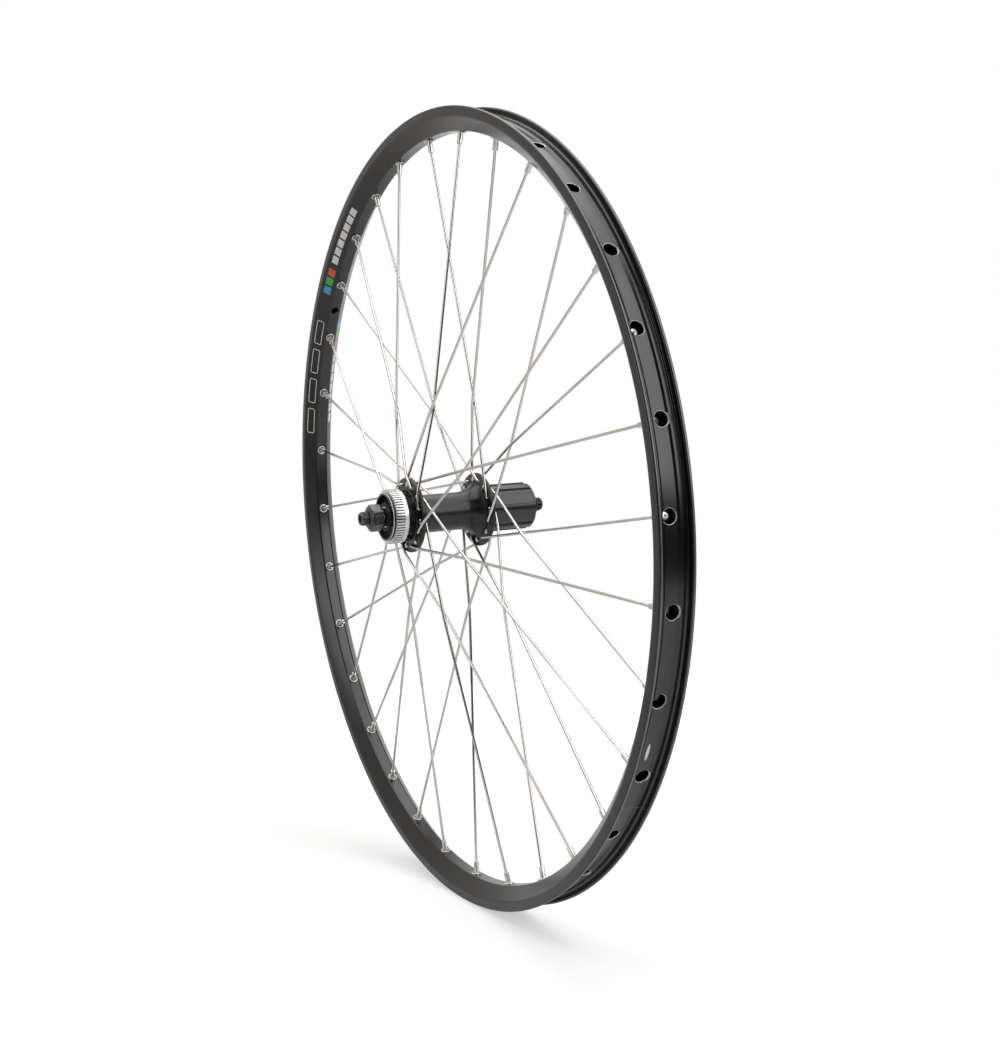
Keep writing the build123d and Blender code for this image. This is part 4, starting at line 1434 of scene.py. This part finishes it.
@dataclass
class Decals:
    """Plain blocks, squares and frames on the rim's slanted walls."""

    rim: Rim  # The rim that carries them
    thickness: float = 0.08  # Thickness of the film
    steps_per_degree: float = 2.0  # Segments of a film for each degree
    blocks: int = 7  # Number of white blocks
    block: Row = Row(9.6, 1.95, 1.6, (0.28, 0.72))  # Their row
    square_inks: tuple[int, ...] = (3, 1, 2)  # Number of the ink of each coloured square
    square: Row = Row(3.0, 1.9, 1.5, (0.24, 0.76))  # Their row
    frames: int = 4  # Number of outlined frames
    outlined: Row = Row(2.8, 5.8, 4.7, (0.22, 0.78))  # Their row
    line: float = 0.6  # Width of a frame's line
    corner_r: float = 1.6  # Round on a frame's corners

    def build(self, finishes: Finishes) -> None:
        """Build and place the marks of both walls.

        Args:
            finishes: The wheel's materials.
        """
        inks = [
            finishes.ink("ink_white", (0.97, 0.97, 0.96)),
            finishes.ink("ink_green", (0.03, 0.6, 0.06)),
            finishes.ink("ink_red", (0.95, 0.12, 0.05)),
            finishes.ink("ink_blue", (0.05, 0.42, 0.85)),
        ]
        for side in Side:
            marks = bmesh.new()
            for i in range(self.blocks):
                joined(marks, self._thickened(self._sheet(side, self.block, i, side.value, 0)))
            for i, ink in enumerate(self.square_inks):
                joined(marks, self._thickened(self._sheet(side, self.square, i, side.value, ink)))
            for i in range(self.frames):
                joined(marks, self.frame(self._sheet(side, self.outlined, i, -side.value, 0)))
            bmesh.ops.recalc_face_normals(marks, faces=marks.faces[:])
            name = f"rim_marks_{side.name.lower()}"
            place_piece(name, marks, inks, "wheel", [])

    def _sheet(self, side: Side, row: Row, index: int, way: int, ink: int) -> BMesh:
        """Sweep an open sheet on the slanted wall.

        Args:
            side: Which wall it is on.
            row: The row of marks that it belongs to.
            index: Its number in the row.
            way: Which way the row runs round the rim.
            ink: Number of its ink.

        Returns:
            The sheet, with its faces away from the rim.
        """
        mesh = bmesh.new()
        rim = self.rim
        rise, spread = rim.crease_r - rim.inner_r, rim.half - rim.floor_half
        edge = mesh.edges.new([
            mesh.verts.new((rim.inner_r + share * rise, side.value * (rim.floor_half + share * spread), 0.0))
            for share in row.span
        ])
        start, end = row.ends(index, way)
        steps = max(2, round(abs(end - start) * self.steps_per_degree))
        bmesh.ops.spin(mesh, geom=[edge], cent=CENTRE, axis=AXLE, angle=-radians(end - start), steps=steps)
        across = Vector((rise, spread)).normalized()
        outwards = Vector((-across.y, side.value * across.x, 0.0))
        for face in mesh.faces:
            face.material_index = ink
        mesh.faces.ensure_lookup_table()
        mesh.normal_update()
        if mesh.faces[0].normal.dot(outwards) < 0.0:
            bmesh.ops.reverse_faces(mesh, faces=mesh.faces[:])
        return moved(mesh, about_axle(rim.valve_angle + start))

    def _thickened(self, mesh: BMesh) -> BMesh:
        """Close an open sheet with the film's thickness on its outer side.

        Args:
            mesh: The open sheet.

        Returns:
            The same mesh, closed.
        """
        mesh.normal_update()
        bmesh.ops.solidify(mesh, geom=mesh.faces[:], thickness=-self.thickness)
        bmesh.ops.recalc_face_normals(mesh, faces=mesh.faces[:])
        return mesh

    def frame(self, sheet: BMesh) -> BMesh:
        """Cut a thin rounded frame out of a sheet.

        Args:
            sheet: The open sheet.

        Returns:
            The closed frame.
        """
        corners = [v for v in sheet.verts if len(v.link_edges) == 2]
        bevelled(sheet, corners, self.corner_r, 4, "VERTICES")
        whole = sheet.faces[:]
        bmesh.ops.inset_region(sheet, faces=whole, thickness=self.line, use_boundary=True, use_even_offset=True)
        bmesh.ops.delete(sheet, geom=whole, context="FACES")
        return self._thickened(sheet)


class HiddenParts:
    """The bearing and freehub parts inside the hub, which keep their CAD shapes."""

    def __init__(self, nodes: dict[str, Object]) -> None:
        """Hold the frame's nodes."""
        self.nodes = nodes

    def dress(self, finishes: Finishes) -> None:
        """Give each node its finish.

        Args:
            finishes: The wheel's materials.
        """
        ground = (
            "left_bearing_cup", "left_bearing_balls", "right_bearing_balls", "right_cone", "freehub_core",
            "freehub_bolt", "freehub_cup", "pawl_1", "pawl_2", "left_cone",
        )
        for name in ground:
            data = self.nodes[name].data
            data.materials.clear()
            data.materials.append(finishes.bearing_steel)
            LOG.info("%s: dressed", name)


# The studio


@dataclass
class Studio:
    """The camera, the floor, the lights and the surroundings."""

    camera_place: tuple[float, float, float] = (924.95, -443.14, 43.30)  # Where the camera stands, in millimetres
    # Its right, up and back directions
    camera_axes: tuple[tuple[float, float, float], ...] = (
        (0.46359, 0.88377, -0.06359),
        (-0.00898, 0.07644, 0.99703),
        (0.88601, -0.46164, 0.04337),
    )
    lens: float = 47.865  # Its focal length
    sensor: float = 36.0  # The sensor's long side
    shift_y: float = -0.01714  # How far its picture is shifted upwards
    floor_z: float = -285.0  # Height of the floor
    floor_r: float = 0.95  # Radius of the floor in metres
    floor_echo: float = 0.2  # How bright the floor is in the wheel's reflections
    dark_side: tuple[float, float, float] = (0.95, 0.3, 0.0)  # The direction in which the room is darkest

    def build(self) -> None:
        """Set up everything round the wheel."""
        bpy.context.scene.view_settings.view_transform = "Standard"
        self.camera()
        self.floor()
        self.lights()
        self.world()

    def camera(self) -> None:
        """Place the camera."""
        data = bpy.data.cameras.new("camera")
        data.lens = self.lens
        data.sensor_width = self.sensor
        data.sensor_fit = "AUTO"
        data.shift_y = self.shift_y
        data.clip_end = 50.0
        obj = bpy.data.objects.new("camera", data)
        turn = Matrix([Vector(axis) for axis in self.camera_axes]).transposed().to_4x4()
        obj.matrix_world = Matrix.Translation(Vector(self.camera_place) * MM) @ turn
        bpy.context.scene.collection.objects.link(obj)
        bpy.context.scene.camera = obj

    def floor(self) -> None:
        """Lay a plain white floor that keeps the shadow and clips to white elsewhere."""
        mesh = bmesh.new()
        bmesh.ops.create_circle(mesh, cap_ends=True, segments=96, radius=self.floor_r)
        bmesh.ops.translate(mesh, vec=(0.0, 0.0, self.floor_z * MM), verts=mesh.verts[:])
        obj = new_object("floor", mesh)
        material = bpy.data.materials.new("floor_white")
        material.use_nodes = True
        tree = ShaderTree(material.node_tree)
        shader = tree.nodes["Principled BSDF"]
        place = tree.add("TexCoord").outputs["Object"]
        away = tree.add("VectorMath", operation="LENGTH")
        tree.feed(away.inputs[0], place)
        rightwards = tree.dot(place, self.camera_axes[0])
        ray = tree.add("LightPath").outputs
        reflected = tree.math("MAXIMUM", ray["Is Glossy Ray"], ray["Is Transmission Ray"])
        glow = tree.ramp(away.outputs["Value"], 0.4, self.floor_r, 0.52, 1.0)
        shown = tree.math("MULTIPLY", ray["Is Camera Ray"], glow)
        echoed = tree.math("MULTIPLY", reflected, tree.ramp(rightwards, -0.4, 0.25, 0.0, self.floor_echo))
        inputs = {
            "Base Color": (0.55, 0.55, 0.55, 1.0),
            "Roughness": 0.9,
            "Specular IOR Level": 0.1,
            "Emission Color": (1.0, 1.0, 1.0, 1.0),
            "Emission Strength": tree.math("MAXIMUM", shown, echoed),
        }
        tree.fill(shader, inputs)
        obj.data.materials.append(material)

    def lights(self) -> None:
        """Hang a large soft light overhead and set a soft box on each side."""
        lamps = (
            ("overhead", (-0.1, 0.1, 1.5), (-0.1, 0.1, 0.0), 2.0, 24.0),
            ("right_box", (1.3, 0.69, 0.75), (0.0, 0.0, 0.0), 1.5, 15.5),
            ("left_box", (0.2, -1.7, 0.62), (-0.1, 0.0, 0.0), 1.0, 4.6),
        )
        for name, place, target, size, power in lamps:
            data = bpy.data.lights.new(name, "AREA")
            data.shape = "SQUARE"
            data.size = size
            data.energy = power
            obj = bpy.data.objects.new(name, data)
            aim = (Vector(target) - Vector(place)).to_track_quat("-Z", "Y").to_matrix().to_4x4()
            obj.matrix_world = Matrix.Translation(place) @ aim
            bpy.context.scene.collection.objects.link(obj)

    def world(self) -> None:
        """Surround the wheel with white behind it and a warm dim room behind the camera."""
        world = bpy.data.worlds.new("studio")
        world.use_nodes = True
        bpy.context.scene.world = world
        tree = ShaderTree(world.node_tree)
        background = tree.nodes["Background"]
        white = (1.0, 1.0, 1.0, 1.0)
        direction = tree.add("TexCoord").outputs["Generated"]
        ahead = tree.ramp(tree.dot(direction, self.dark_side), -0.8, 0.5, 0.0, 1.0)
        room = tree.mix(ahead, (0.55, 0.515, 0.485, 1.0), (0.03, 0.026, 0.024, 1.0))
        backdrop = tree.ramp(tree.dot(direction, self.camera_axes[2]), -0.97, -0.65, 1.0, 0.0)
        room = tree.mix(backdrop, room, white)
        camera_ray = tree.add("LightPath").outputs["Is Camera Ray"]
        tree.feed(background.inputs["Color"], tree.mix(camera_ray, room, white))
        background.inputs["Strength"].default_value = 1.0


def main() -> None:
    """Build the wheel over its frame and report each piece."""
    logging.basicConfig(level=logging.INFO, format="%(name)s: %(message)s")
    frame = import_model()
    Studio().build()
    finishes = Finishes()
    spokes = SpokeSet()
    rim = Rim(spokes)
    for assembly in (rim, spokes, HubShell(spokes), AxleSet(), Freehub(), Decals(rim)):
        assembly.build(finishes)
    HiddenParts(frame["nodes"]).dress(finishes)


if __name__ == "__main__":
    main()
